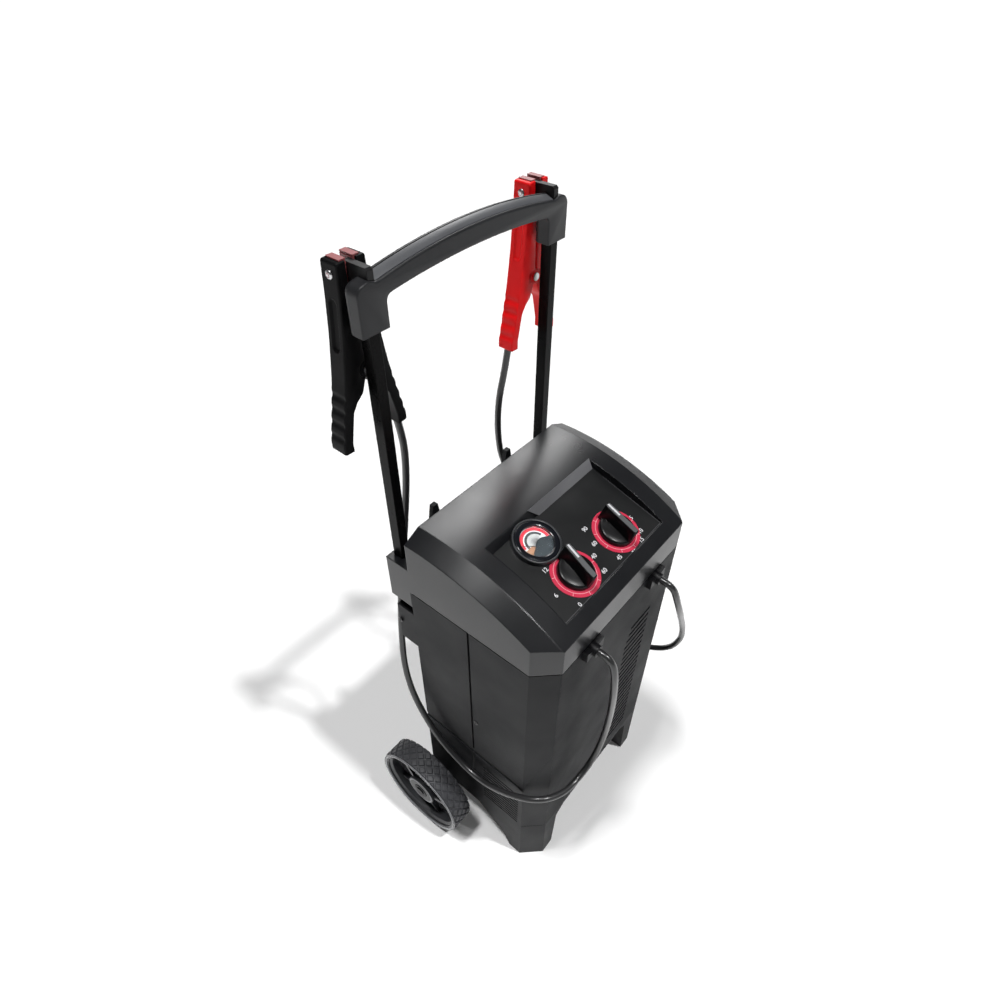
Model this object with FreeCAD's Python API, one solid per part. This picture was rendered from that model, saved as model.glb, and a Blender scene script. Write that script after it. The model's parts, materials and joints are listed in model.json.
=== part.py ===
import FreeCAD, Part
import math
import os
from FreeCAD import Vector

os.makedirs("parts", exist_ok=True)

# Wheeled car battery charger. Millimetres, +Z up, front face towards -Y.
# While it is modelled, y = 0 is the front face and z = 0 the floor.

# the case
BODY_W = 330.0          # over the side walls
BODY_D = 228.0          # front face to rear wall
HALF_W = BODY_W / 2
SEAM_Z = 550.0          # underside of the hood
BASE_Z = 250.0          # top of the base's side walls
HORN_H = 100.0
HORN_Z = BASE_Z + HORN_H  # where the base ends at the front edges
WALL = 3.0
CHAMFER_X = 28.0
CHAMFER_Y = 29.0
HALF_FACE = HALF_W - CHAMFER_X
SEAT = 0.2              # gap between mouldings that are fitted together
FASCIA_T = 3.0
DECK_Z = 110.0          # floor of the base
FASCIA_Z = DECK_Z + WALL  # lower edge of the front panel
FRONT_SHELL_D = 125.0   # the front housing ends here
GROOVE_W = 3.5          # groove between the two housings
GROOVE_BELOW = 70.0     # the groove runs down by this much in the base
GROOVE_Z = BASE_Z - GROOVE_BELOW
GROOVE_DEPTH = 1.4
LIP_T = 2.0
LIP_REACH = 12.0
LEDGE_H = 9.0           # shadow gap under the side walls of the housings


# legs and arch of the base
FOOT_W = 52.0           # side wall to the arch, at the floor
ARCH_LEAN = 7.0
ARCH_CORNER_W = 20.0
ARCH_CORNER_H = 14.0
ARCH_HALF_FOOT = HALF_W - FOOT_W
ARCH_HALF_TOP = ARCH_HALF_FOOT - ARCH_LEAN
ARCH_Z = DECK_Z - WALL
ARCH_FLAT_HALF = ARCH_HALF_TOP - ARCH_CORNER_W
ARCH_SHOULDER_Z = ARCH_Z - ARCH_CORNER_H
LEG_D = 120.0           # depth of the legs' hollow blocks
SKIRT_Z = 73.0          # lower edge of the side and rear walls
FOOT_Y = 29.0
FOOT_REAR_Y = 51.0
LEG_PROFILE = ((55.0, 8.0), (62.0, 22.0), (73.0, 38.0), (85.0, 43.0), (96.0, 54.0))

# the louvres
LOUVRE_SIDE = 47.0      # louvres to the edge of the front face
LOUVRE_L = 60.0
LOUVRE_X1 = HALF_FACE - LOUVRE_SIDE
LOUVRE_X0 = LOUVRE_X1 - LOUVRE_L
LOUVRE_LOW = 30.0       # over the front panel's lower edge
LOUVRE_HIGH = 80.0      # under the seam
LOUVRE_Z0 = FASCIA_Z + LOUVRE_LOW
LOUVRE_Z1 = SEAM_Z - LOUVRE_HIGH
LOUVRE_PITCH = 13.6
LOUVRE_SLOT = 6.4
LOUVRE_STEP = 0.6       # the louvres' left ends drift by this much each
SIDE_LOUVRE_FRONT = 8.0
SIDE_LOUVRE_REAR = 12.0
SIDE_LOUVRE_LOW = 7.0
SIDE_LOUVRE_HIGH = 35.0
SIDE_LOUVRE_Y0 = CHAMFER_Y + SIDE_LOUVRE_FRONT
SIDE_LOUVRE_Y1 = LEG_D - SIDE_LOUVRE_REAR
SIDE_LOUVRE_Z0 = DECK_Z + SIDE_LOUVRE_LOW
SIDE_LOUVRE_Z1 = BASE_Z - SIDE_LOUVRE_HIGH
SIDE_LOUVRE_PITCH = 8.0
SIDE_LOUVRE_SLOT = 3.2

# the hood
HOOD_FRONT_H = 46.0     # over the seam
HOOD_MID_H = 93.5
HOOD_REAR_H = 104.5
HOOD_FRONT_Z = SEAM_Z + HOOD_FRONT_H
HOOD_MID_IN = 118.0     # from the rear wall
HOOD_MID_Y = BODY_D - HOOD_MID_IN
HOOD_MID_Z = SEAM_Z + HOOD_MID_H
HOOD_REAR_Z = SEAM_Z + HOOD_REAR_H
BEVEL_W = 26.0
BEVEL_X = HALF_W - BEVEL_W  # the top's side bevels start here
BEVEL_DROP = 13.0
SEAM_GROOVE_H = 1.4
SEAM_GROOVE_T = 0.9
TONGUE_H = 8.0

# control panel, in its own frame: u to the right, v up the slope, w out of it
PANEL_Y = 18.8
PANEL_OVER = 8.6        # over the hood's front edge
PANEL_Z = HOOD_FRONT_Z + PANEL_OVER
PANEL_TILT = 16.7
PANEL_SIDE = 54.5       # side wall to the panel
PANEL_HALF = HALF_W - PANEL_SIDE
PANEL_V = 122.0
PLATE_T = 2.0
RECESS_LEDGE = 10.0
STRIP_U0 = -27.0
STRIP_V0 = 108.0
STRIP_SLANT = 12.0
STRIP_T = 0.8

# the knobs
SELECTOR_U = -46.0
SELECTOR_V = 34.6
SELECTOR_POINT = 10.5   # degrees clockwise from v
TIMER_U = 48.0
TIMER_V = 36.0
TIMER_POINT = 5.7
RING_R = 33.6
RING_T = 0.8
RING_HOLE_R = 9.0
KNOB_DISC_R = 25.0
KNOB_DISC_H = 8.0
KNOB_BAR_L = 52.0
KNOB_BAR_W = 9.0
KNOB_H = 28.5
KNOB_GAP = 0.6          # under the knob
SHAFT_R = 3.0
RUNNING = 0.05          # radial clearance of what turns
BUSH_R = 5.0
SWITCH_W = 46.0
SWITCH_H = 26.0
SWITCH_EDGE = 4.0
TAB_W = 6.0
TAB_L = 6.0
TAB_T = 2.0
TAB_PITCH = 12.0
TIMER_W = 54.0
TIMER_H = 40.0

# the meter
METER_U = -51.0
METER_V = 96.0
BEZEL_R = 33.0
BEZEL_H = 6.0
BEZEL_FACE = 4.5
METER_BODY_R = 25.5
METER_DEPTH = 32.0
METER_CUP = 2.0
DIAL_W = -1.8
DIAL_T = 0.5
NEEDLE_PIVOT_V = -9.0
NEEDLE_L = 27.0
NEEDLE_W = 1.0
NEEDLE_T = 0.5
NEEDLE_REST = 48.0      # degrees left of v
NEEDLE_R = 0.8
MASK_T = 0.6
LENS_T = 1.6
LENS_DOME = 2.4

# the handle
POST_IN = 17.0          # post's middle from the side wall
POST_X = HALF_W - POST_IN
POST_BEHIND = 28.0      # post's middle behind the rear wall
POST_Y = BODY_D + POST_BEHIND
POST_W = 13.0
POST_D = 15.0
POST_WALL = 1.5
EAR_LOW = 120.0         # under the seam
EAR_HIGH = 47.0
EAR_Z0 = SEAM_Z - EAR_LOW
EAR_Z1 = SEAM_Z - EAR_HIGH
EAR_D = 32.0            # behind the rear wall
EAR_FLOOR = 8.0
BLOCK_W = 34.0
BLOCK_HALF_IN = HALF_W - BLOCK_W  # inner side of ears and sockets
SOCKET_LOW = 30.0
SOCKET_HIGH = 44.0
SOCKET_Z0 = SEAM_Z - SOCKET_LOW
SOCKET_Z1 = SEAM_Z + SOCKET_HIGH
SOCKET_D = 40.0
POST_FIT = 0.15
GRIP_TOP_Z = 987.5      # height of the whole charger
ELBOW_H = 69.5
ELBOW_Z = GRIP_TOP_Z - ELBOW_H
ELBOW_HALF = 18.0
ELBOW_IN = POST_X - ELBOW_HALF
ELBOW_OUT = POST_X + ELBOW_HALF
GRIP_FRONT = 11.5       # in front of the posts' middle
GRIP_Y0 = POST_Y - GRIP_FRONT
GRIP_D = 24.5

GRIP_BOW = 15.2
GRIP_END_Z = GRIP_TOP_Z - GRIP_BOW
GRIP_END_OUT = 2.0
GRIP_END_X = POST_X + GRIP_END_OUT
GRIP_H = 27.5
GRIP_BOTTOM_Z = GRIP_TOP_Z - GRIP_H
GRIP_BOTTOM_BOW = 8.5
GRIP_BOTTOM_END_Z = GRIP_BOTTOM_Z - GRIP_BOTTOM_BOW
GRIP_ROUND = 5.0
ELBOW_ROUND = 12.0
INNER_ROUND = 8.0
POST_COVER = 3.0        # grip over the posts' ends
POST_TOP_Z = GRIP_BOTTOM_Z - POST_COVER

# clamp rests and clamps
REST_IN = 3.0           # nearer to the middle than the posts
REST_X = POST_X - REST_IN
REST_T = 8.0
REST_H = 21.0
REST_BELOW = 4.5
REST_NOSE = 2.5         # corner taken off at the upper front
REST_Z1 = GRIP_TOP_Z - REST_BELOW
REST_Z0 = REST_Z1 - REST_H
REST_BEHIND = 25.0
REST_REAR_Y = POST_Y + REST_BEHIND
CLAMP_BEHIND = 29.0
CLAMP_Y = POST_Y + CLAMP_BEHIND
CLAMP_W = 24.0          # along the hinge
CLAMP_HANG = 117.0      # pivot under the rests' top
CLAMP_PIVOT_Z = REST_Z1 - CLAMP_HANG
CLAMP_OUTER = ((18.0, 119.0), (20.0, 84.0), (24.0, 41.0), (31.0, -8.0), (47.0, -79.0), (47.0, -91.0))
CLAMP_GAP = 1.6         # from the middle to each half, above the pivot
CLAMP_HANDLE_T = 13.0
CLAMP_NECK = 18.0       # height over which a half thins to its handle
CLAMP_V = 21.5          # degrees, inner face of a handle from the middle
CLAMP_OPEN = 28.0
JAW_T = 2.4
JAW_Z0 = 90.0
JAW_W = 19.0
JAW_PLAY = 0.3
JAW_PROUD = 1.5
JAW_COVER = 5.6          # how far its top lies over the plastic
JAW_TOOTH = 0.7
JAW_TEETH = 7
RIVET_Z = 106.0
RIVET_R = 2.2
KNUCKLE_R = 10.0
KNUCKLE_GAP = 0.35
KNUCKLE_W = 3.8
KNUCKLE_STEP = 0.3
PIN_R = 3.0
PIN_HEAD_R = 5.2
PIN_HEAD_H = 1.5
WAVES = 4
WAVE_PITCH = 16.0
WAVE_R = 15.0
WAVE_DEPTH = 1.8
SPRING_WIRE = 1.5
SPRING_R = 6.2
SPRING_TURNS = 2.5
SPRING_PITCH = 2.0
SPRING_LEG = 26.0
GRIP_SLOT_Z0 = 29.0     # shallow slot on a half's outer face
GRIP_SLOT_Z1 = 79.0
GRIP_SLOT_D = 2.5

# the wheels
AXLE_IN = 22.0          # from the rear wall
AXLE_Y = BODY_D - AXLE_IN

AXLE_R = 6.0
WHEEL_R = 85.0
AXLE_Z = WHEEL_R

TYRE_W = 41.0
WHEEL_GAP = 21.0        # case to tyre
WHEEL_OUT_X = HALF_W + WHEEL_GAP + TYRE_W
TYRE_H = 9.0            # a thin tread band on a wide rim
TYRE_SHOULDER = 2.5
TYRE_CROWN = 0.8
TYRE_BEVEL = 0.8
RIM_R = WHEEL_R - TYRE_H
RIM_IN = 2.0
RIM_FACE = 1.0
RIM_T = 4.0
RIM_LIP = 3.0           # flange beside the tyre
RIM_STEP = 1.5          # flange under the tread
RIM_EDGE = 2.0
DISH_T = 5.0
DISH_DEPTH = 24.0       # outer face of the wheel to its web
HUB_BEHIND = 6.0        # hub behind the outer face
HUB_FACE = WHEEL_OUT_X - HUB_BEHIND
HUB_R = 28.0
HUB_IN_R = 15.0
HUB_LIP = 4.0
RIB_T = 7.0
RIB_END = 6.0
SPOKES = 5
SPOKE_TURN = 54.6       # degrees from upright to the first spoke
SLOTS = SPOKES
SLOT_R0 = HUB_R + 6.0
SLOT_R1 = 52.0
SLOT_HALF = 22.0        # degrees
CAP_R = 14.0
CAP_T = 3.0
CAP_NUB_R = 6.5
SPACER_R = 11.0
AXLE_BOSS_R = 15.0
AXLE_BOSS_L = 22.0
TREAD_LUGS = 30
TREAD_DEPTH = 2.0
TREAD_SLOT = 3.0
TREAD_SKEW = 32.0

# outlets of the leads, and the leads
RELIEF_X = 76.0
RELIEF_BELOW = 9.5      # under the seam
RELIEF_Z = SEAM_Z - RELIEF_BELOW
RELIEF_D = 12.0
RELIEF_HALF = 18.0
RELIEF_H = 17.0
RELIEF_CORE_R = 8.2
LEAD_R = 4.8
LEAD_HOLE_R = LEAD_R + SEAT
LEAD_TILT = 12.0        # the leads leave the clamps along their handles
LEAD_IN = 5.0

# cord hooks and mains gland
HOOK_X = 77.0
HOOK_W = 16.0
HOOK_T = 5.0
HOOK_REACH = 39.0

HOOK_OVER = 46.0        # arm over the seam
HOOK_LIP_H = 31.0
HOOK_PLATE_BELOW = 24.0
HOOK_ARM_Z = SEAM_Z + HOOK_OVER
HOOK_TOP_Z = HOOK_ARM_Z + HOOK_LIP_H
HOOK_PLATE_Z0 = HOOK_ARM_Z - HOOK_PLATE_BELOW
HOOK_PLATE_T = 3.0
GLAND_X = 0.0
GLAND_OVER = 50.0       # over the base
GLAND_Z = BASE_Z + GLAND_OVER
GLAND_R = 10.0
GLAND_HEAD_R = 14.0
GLAND_BORE_R = 4.6
GLAND_L = 22.0
GLAND_HEAD = 14.0

# pieces inside the case
CHASSIS_T = 2.0
CHASSIS_SIDE = 25.0
CHASSIS_W = BODY_W - 2 * CHASSIS_SIDE
CHASSIS_END = 42.0
CHASSIS_Y0 = CHASSIS_END
CHASSIS_Y1 = BODY_D - CHASSIS_END
CHASSIS_POST = 10.0
CORE_W = 150.0
CORE_D = 72.0
CORE_H = 125.0
CORE_LIMB = 26.0
CORE_SHIFT = 6.0        # in front of the plate's middle
CORE_Y = (CHASSIS_Y0 + CHASSIS_Y1) / 2 - CORE_SHIFT
COIL_OVER = 22.0        # how far the winding stands out of the core
COIL_PLAY = 1.0
FOOT_T = 3.0
SINK_W = 120.0
SINK_H = 90.0
SINK_T = 4.0
SINK_FINS = 7
SINK_FIN_D = 18.0

SINK_BELOW = 60.0       # top of the heat sink under the seam
DIODE_R = 6.5
DIODE_H = 9.0
DIODE_PITCH = 28.0
BREAKER_W = 34.0
BREAKER_D = 20.0
BREAKER_H = 42.0
BREAKER_SIDE = 14.0
BREAKER_FRONT = 24.0
TERMINAL_W = 70.0
TERMINAL_D = 22.0
TERMINAL_H = 16.0
TERMINAL_SIDE = 12.0
TERMINAL_FRONT = 23.0

# the screws
SCREW_R = 2.0
SCREW_HEAD_R = 4.0
SCREW_HEAD_H = 2.4
HEAD_PROUD = 0.6         # head of the upper handle screw out of its sink
SCREW_L = 16.0
HOUSING_SCREW_INSET = 6.0
HOUSING_SCREW_Z = 339.0

REAR_SHELL_Y = FRONT_SHELL_D + GROOVE_W
CHAMFER_L = math.hypot(CHAMFER_X, CHAMFER_Y)
# the middle of the footprint goes to y = 0
FRONT_Y = -(AXLE_Y + WHEEL_R) / 2
X_AXIS = Vector(1, 0, 0)
Y_AXIS = Vector(0, 1, 0)
Z_AXIS = Vector(0, 0, 1)
FAR = 2 * BODY_W


def box(x0, x1, y0, y1, z0, z1):
    return Part.makeBox(x1 - x0, y1 - y0, z1 - z0, Vector(x0, y0, z0))


def rod(r, a, b):
    a, b = Vector(*a), Vector(*b)
    return Part.makeCylinder(r, (b - a).Length, a, b - a)


def ring(r_out, r_in, a, b):
    return rod(r_out, a, b).cut(rod(r_in, a, b))


def prism(points, way):
    points = [Vector(*p) for p in points]
    return Part.Face(Part.makePolygon(points + points[:1])).extrude(Vector(*way))


def fused(shapes):
    return shapes[0].multiFuse(shapes[1:]) if len(shapes) > 1 else shapes[0]


def mirrored(shape):
    return shape.mirror(Vector(0, 0, 0), X_AXIS)


def solids(shape):
    found = [s for s in shape.Solids if s.Volume > 1.0]
    return found[0] if len(found) == 1 else Part.makeCompound(found)


def put(name, shape, clean=True):
    if clean:
        shape = shape.removeSplitter()
    shape = solids(shape)
    shape.translate(Vector(0, FRONT_Y, 0))
    if not shape.isValid():
        print("NOT VALID", name)
    print(name, len(shape.Solids), round(shape.Volume / 1000, 2))
    shape.exportStep("parts/%s.step" % name)


def plan(inset, z0, z1):
    # outline of the case, all walls moved in by inset
    k = CHAMFER_Y * HALF_W - CHAMFER_X * CHAMFER_Y - inset * CHAMFER_L
    xs = HALF_W - inset
    ys = (CHAMFER_Y * xs - k) / CHAMFER_X
    xf = (k + CHAMFER_X * inset) / CHAMFER_Y
    yr = BODY_D - inset
    pts = [(-xs, yr, z0), (-xs, ys, z0), (-xf, inset, z0), (xf, inset, z0), (xs, ys, z0), (xs, yr, z0)]
    return prism(pts, (0, 0, z1 - z0))


def face_wall(z0, z1):
    # the wall behind the front panel, its ends inside the chamfered corners
    return box(-HALF_FACE - WALL, HALF_FACE + WALL, FASCIA_T, FASCIA_T + WALL, z0,
               z1).common(plan(WALL / 2, z0, z1))


# the base
def horn(rise, start, depth):
    # triangle of the base that climbs the front edge, on the +x side
    out = Vector(CHAMFER_Y, -CHAMFER_X, 0) / CHAMFER_L
    shift = out * start
    way = out * -(depth + start)
    a = Vector(HALF_W, CHAMFER_Y, BASE_Z + rise) + shift
    b = Vector(HALF_FACE, 0, HORN_Z + rise) + shift
    c = Vector(HALF_FACE, 0, BASE_Z - WALL) + shift
    d = Vector(HALF_W, CHAMFER_Y, BASE_Z - WALL) + shift
    return prism([a, b, c, d], way)


def arch(grow, y0, y1):
    pts = [(-ARCH_HALF_FOOT - grow, y0, -1), (-ARCH_HALF_FOOT - grow, y0, 0),
           (-ARCH_HALF_TOP - grow, y0, ARCH_SHOULDER_Z),
           (-ARCH_FLAT_HALF, y0, ARCH_Z + grow), (ARCH_FLAT_HALF, y0, ARCH_Z + grow),
           (ARCH_HALF_TOP + grow, y0, ARCH_SHOULDER_Z), (ARCH_HALF_FOOT + grow, y0, 0),
           (ARCH_HALF_FOOT + grow, y0, -1)]
    return prism(pts, (0, y1 - y0, 0))


def under(grow):
    # what is cut away below the legs' rear profile, moved forward by grow
    pts = [(-FAR, FOOT_REAR_Y - grow, -1), (-FAR, FOOT_REAR_Y - grow, 0)]
    pts += [(-FAR, y - grow, z) for y, z in LEG_PROFILE]
    pts += [(-FAR, LEG_D - grow, SKIRT_Z), (-FAR, FAR, SKIRT_Z), (-FAR, FAR, -1)]
    return prism(pts, (2 * FAR, 0, 0))


def make_base():
    shell = plan(0, 0, BASE_Z).cut(plan(WALL, -1, BASE_Z + 1))
    deck = plan(WALL / 2, DECK_Z, DECK_Z + WALL)
    block = plan(0, 0, DECK_Z + WALL).common(box(-HALF_W, HALF_W, -1, LEG_D, 0, DECK_Z + WALL))
    hollow = plan(WALL, WALL, DECK_Z + WALL + 1).common(box(-HALF_W, HALF_W, -1, LEG_D - WALL, WALL,
                                                            DECK_Z + WALL + 1))
    hollow = hollow.cut(arch(WALL, -1, FAR)).cut(under(WALL))
    hollow = hollow.cut(box(-ARCH_HALF_TOP - WALL, ARCH_HALF_TOP + WALL, -1, FAR, 0, DECK_Z + WALL + 2))
    boss = rod(AXLE_BOSS_R, (HALF_W - AXLE_BOSS_L, AXLE_Y, AXLE_Z), (HALF_W, AXLE_Y, AXLE_Z))
    web = box(HALF_W - AXLE_BOSS_L, HALF_W - WALL / 2, AXLE_Y - WALL / 2, AXLE_Y + WALL / 2, AXLE_Z,
              DECK_Z + WALL)
    base = fused([shell, deck, face_wall(FASCIA_Z - WALL, BASE_Z), block, horn(0, 0, WALL),
                  mirrored(horn(0, 0, WALL))])
    base = base.cut(arch(0, -1, FAR)).cut(under(0)).cut(hollow)
    base = fused([base, boss, mirrored(boss), web, mirrored(web)])
    base = base.cut(box(-HALF_FACE, HALF_FACE, -1, FASCIA_T, FASCIA_Z, HORN_Z + 1))
    base = base.cut(rod(AXLE_R + POST_FIT, (-FAR, AXLE_Y, AXLE_Z), (FAR, AXLE_Y, AXLE_Z)))
    cuts = []
    n = int((SIDE_LOUVRE_Z1 - SIDE_LOUVRE_Z0) / SIDE_LOUVRE_PITCH) + 1
    for i in range(n):
        z = SIDE_LOUVRE_Z0 + i * SIDE_LOUVRE_PITCH
        cuts.append(box(HALF_W - WALL - 1, HALF_W + 1, SIDE_LOUVRE_Y0, SIDE_LOUVRE_Y1, z,
                        z + SIDE_LOUVRE_SLOT))
    line = plan(-1, FASCIA_Z - 1, FASCIA_Z).cut(plan(GROOVE_DEPTH, FASCIA_Z - 2, FASCIA_Z + 1))
    # the line stops short of the front panel's lower corner
    cuts.append(line.common(box(HALF_FACE + GROOVE_DEPTH, HALF_W + 1, -2, CHAMFER_Y, 0, BASE_Z)))
    base = base.cut(cuts + [mirrored(c) for c in cuts])
    ledge = box(HALF_W - GROOVE_DEPTH, HALF_W + 1, CHAMFER_Y, BODY_D + 1, BASE_Z - LEDGE_H, BASE_Z + 1)
    groove = box(HALF_W - GROOVE_DEPTH, HALF_W + 1, FRONT_SHELL_D, REAR_SHELL_Y, GROOVE_Z, BASE_Z - LEDGE_H)
    base = base.cut([ledge, mirrored(ledge)]).cut([groove, mirrored(groove)])
    return base.cut([rod(SCREW_R, (x, y, DECK_Z - 1), (x, y, DECK_Z + WALL + 1)) for x,
                     y in chassis_holes()])


def chassis_holes():
    x = CHASSIS_W / 2 - CHASSIS_POST
    return [(s * x, y) for s in (-1, 1) for y in (CHASSIS_Y0 + CHASSIS_POST, CHASSIS_Y1 - CHASSIS_POST)]


# the housings
def shell_band(z0, z1):
    return plan(0, z0, z1).cut(plan(WALL, z0 - 1, z1 + 1))


def relief_hole(x):
    return rod(RELIEF_CORE_R + SEAT, (x, -1, RELIEF_Z), (x, FASCIA_T + WALL + 1, RELIEF_Z))


def screw_y():
    return FRONT_SHELL_D - HOUSING_SCREW_INSET


def make_front_housing():
    shell = shell_band(BASE_Z, SEAM_Z).common(box(-FAR, FAR, -1, FRONT_SHELL_D, 0, FAR * 2))
    shape = shell.fuse(face_wall(BASE_Z, SEAM_Z)).cut(box(-HALF_FACE, HALF_FACE, -1, FASCIA_T, 0, FAR * 2))
    window = box(LOUVRE_X0 - WALL, LOUVRE_X1 + WALL, -1, FASCIA_T + WALL + 1, BASE_Z + 2 * WALL,
                 LOUVRE_Z1 + WALL)
    hole = rod(SCREW_R + SEAT, (HALF_W - WALL - 1, screw_y(), HOUSING_SCREW_Z),
               (HALF_W + 1, screw_y(), HOUSING_SCREW_Z))
    sink = rod(SCREW_HEAD_R + SEAT, (HALF_W - WALL / 2, screw_y(), HOUSING_SCREW_Z),
               (HALF_W + 1, screw_y(), HOUSING_SCREW_Z))
    cuts = [window, relief_hole(RELIEF_X), relief_hole(-RELIEF_X), horn(SEAT, 1, WALL),
            mirrored(horn(SEAT, 1, WALL)),
            hole, mirrored(hole), sink, mirrored(sink)]
    return shape.cut(cuts)


def make_fascia():
    shape = box(-HALF_FACE + SEAT, HALF_FACE - SEAT, 0, FASCIA_T, FASCIA_Z, SEAM_Z - SEAT)
    cuts = [relief_hole(RELIEF_X), relief_hole(-RELIEF_X)]
    n = int((LOUVRE_Z1 - LOUVRE_Z0) / LOUVRE_PITCH)
    for i in range(n):
        z = LOUVRE_Z0 + i * LOUVRE_PITCH
        x0 = LOUVRE_X0 + max(0, 5 - i) * 2 * LOUVRE_STEP + max(0, i - (n - 4)) * 5 * LOUVRE_STEP
        # each slot slopes down towards the outside
        cuts.append(prism([(x0, -1, z - 1.5), (x0, FASCIA_T + 1, z + 1.5),
                           (x0, FASCIA_T + 1, z + 1.5 + LOUVRE_SLOT),
                           (x0, -1, z - 1.5 + LOUVRE_SLOT)], (LOUVRE_X1 - x0, 0, 0)))
    return shape.cut(cuts)


def make_rear_housing():
    shell = shell_band(BASE_Z, SEAM_Z).common(box(-FAR, FAR, REAR_SHELL_Y, FAR, 0, FAR * 2))
    lip_x = HALF_W - WALL - SEAT
    lip = box(lip_x - LIP_T, lip_x, FRONT_SHELL_D - LIP_REACH, REAR_SHELL_Y + LIP_REACH / 2, BASE_Z,
              SEAM_Z - TONGUE_H - 1)
    tie = box(lip_x - LIP_T, HALF_W - WALL / 2, REAR_SHELL_Y, REAR_SHELL_Y + LIP_REACH / 2, BASE_Z,
              SEAM_Z - TONGUE_H - 1)
    boss = rod(SCREW_HEAD_R, (lip_x - LIP_T - SCREW_L / 2, screw_y(), HOUSING_SCREW_Z),
               (lip_x - LIP_T / 2, screw_y(), HOUSING_SCREW_Z))
    pilot = rod(SCREW_R, (lip_x - SCREW_L, screw_y(), HOUSING_SCREW_Z),
                (lip_x + 1, screw_y(), HOUSING_SCREW_Z))
    ear = box(BLOCK_HALF_IN, HALF_W, BODY_D - WALL / 2, BODY_D + EAR_D, EAR_Z0, EAR_Z1)
    slot = box(POST_X - POST_W / 2 - POST_FIT, POST_X + POST_W / 2 + POST_FIT,
               POST_Y - POST_D / 2 - POST_FIT,
               BODY_D + EAR_D + 1, EAR_Z0 + EAR_FLOOR, EAR_Z1 + 1)
    z = (EAR_Z0 + EAR_FLOOR + EAR_Z1) / 2
    bolt = rod(SCREW_R, (BLOCK_HALF_IN + 1, POST_Y, z), (HALF_W + 1, POST_Y, z))
    bolt = bolt.cut(box(BLOCK_HALF_IN - 1, POST_X, 0, FAR, 0, FAR * 2))
    half = fused([lip, tie, boss, ear])
    shape = fused([shell, half, mirrored(half)])
    gland = rod(GLAND_R + SEAT, (GLAND_X, BODY_D - WALL - 1, GLAND_Z), (GLAND_X, BODY_D + 1, GLAND_Z))
    cuts = [slot, mirrored(slot), pilot, mirrored(pilot), bolt, mirrored(bolt), gland]
    for x in (-1, 1):
        for z in (SINK_Z - SINK_H / 4, SINK_Z + SINK_H / 4):
            cuts.append(rod(SCREW_R, (x * SINK_W / 3, BODY_D - WALL - 1, z),
                            (x * SINK_W / 3, BODY_D + 1, z)))
    return shape.cut(cuts)


# the hood
def hood_circle():
    # the top's profile is one circle through three points
    y1, z1, y2, z2, y3, z3 = 0.0, HOOD_FRONT_Z, HOOD_MID_Y, HOOD_MID_Z, BODY_D, HOOD_REAR_Z
    a = 2 * (y2 - y1)
    b = 2 * (z2 - z1)
    c = y2 ** 2 + z2 ** 2 - y1 ** 2 - z1 ** 2
    d = 2 * (y3 - y2)
    e = 2 * (z3 - z2)
    f = y3 ** 2 + z3 ** 2 - y2 ** 2 - z2 ** 2
    yc = (c * e - b * f) / (a * e - b * d)
    zc = (a * f - c * d) / (a * e - b * d)
    return yc, zc, math.hypot(yc, zc - z1)


HOOD_YC, HOOD_ZC, HOOD_R = hood_circle()


def hood_z(y, inset=0.0):
    return HOOD_ZC + math.sqrt((HOOD_R - inset) ** 2 - (y - HOOD_YC) ** 2)


def above_hood(x, inset, way):
    # everything above the top's profile in the plane x, moved along way
    ya, yb = -FAR / 30, BODY_D + FAR / 30
    ym = (ya + yb) / 2
    a, b = Vector(x, ya, hood_z(ya, inset)), Vector(x, yb, hood_z(yb, inset))
    arc = Part.Arc(a, Vector(x, ym, hood_z(ym, inset)), b).toShape()
    top = HOOD_REAR_Z + BODY_W
    rest = Part.makePolygon([b, Vector(x, yb, top), Vector(x, ya, top), a])
    return Part.Face(Part.Wire([arc] + rest.Edges)).extrude(Vector(*way))


def hood_solid(inset, z0):
    slope = BEVEL_DROP / (HALF_W - BEVEL_X)
    start = BEVEL_X - inset * math.tan(math.atan(slope) / 2)
    shape = plan(inset, z0, HOOD_REAR_Z + BODY_W / 4)
    shape = shape.cut(above_hood(-FAR, inset, (2 * FAR, 0, 0)))
    run = HALF_W - start + WALL
    side = above_hood(start, inset, (run, 0, -slope * run))
    return shape.cut(side).cut(mirrored(side))


def at_panel(shape):
    shape = shape.copy()
    shape.rotate(Vector(0, 0, 0), X_AXIS, PANEL_TILT)
    shape.translate(Vector(0, PANEL_Y, PANEL_Z))
    return shape


def meter_disc(r, w0, w1):
    return rod(r, (METER_U, METER_V, w0), (METER_U, METER_V, w1))


def recess(grow):
    # the hollow over the control panel; its rear wall leans back
    high = BODY_W / 4
    w0 = -PLATE_T - grow
    v1 = PANEL_V + grow
    pts = [(-PANEL_HALF - grow, -grow, w0), (-PANEL_HALF - grow, v1, w0), (-PANEL_HALF - grow, v1 + high,
                                                                           w0 + high),
           (-PANEL_HALF - grow, -grow, w0 + high)]
    shape = prism(pts, (2 * (PANEL_HALF + grow), 0, 0))
    return at_panel(shape.fuse(meter_disc(BEZEL_R + SEAT + grow, w0, w0 + high)))


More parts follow.
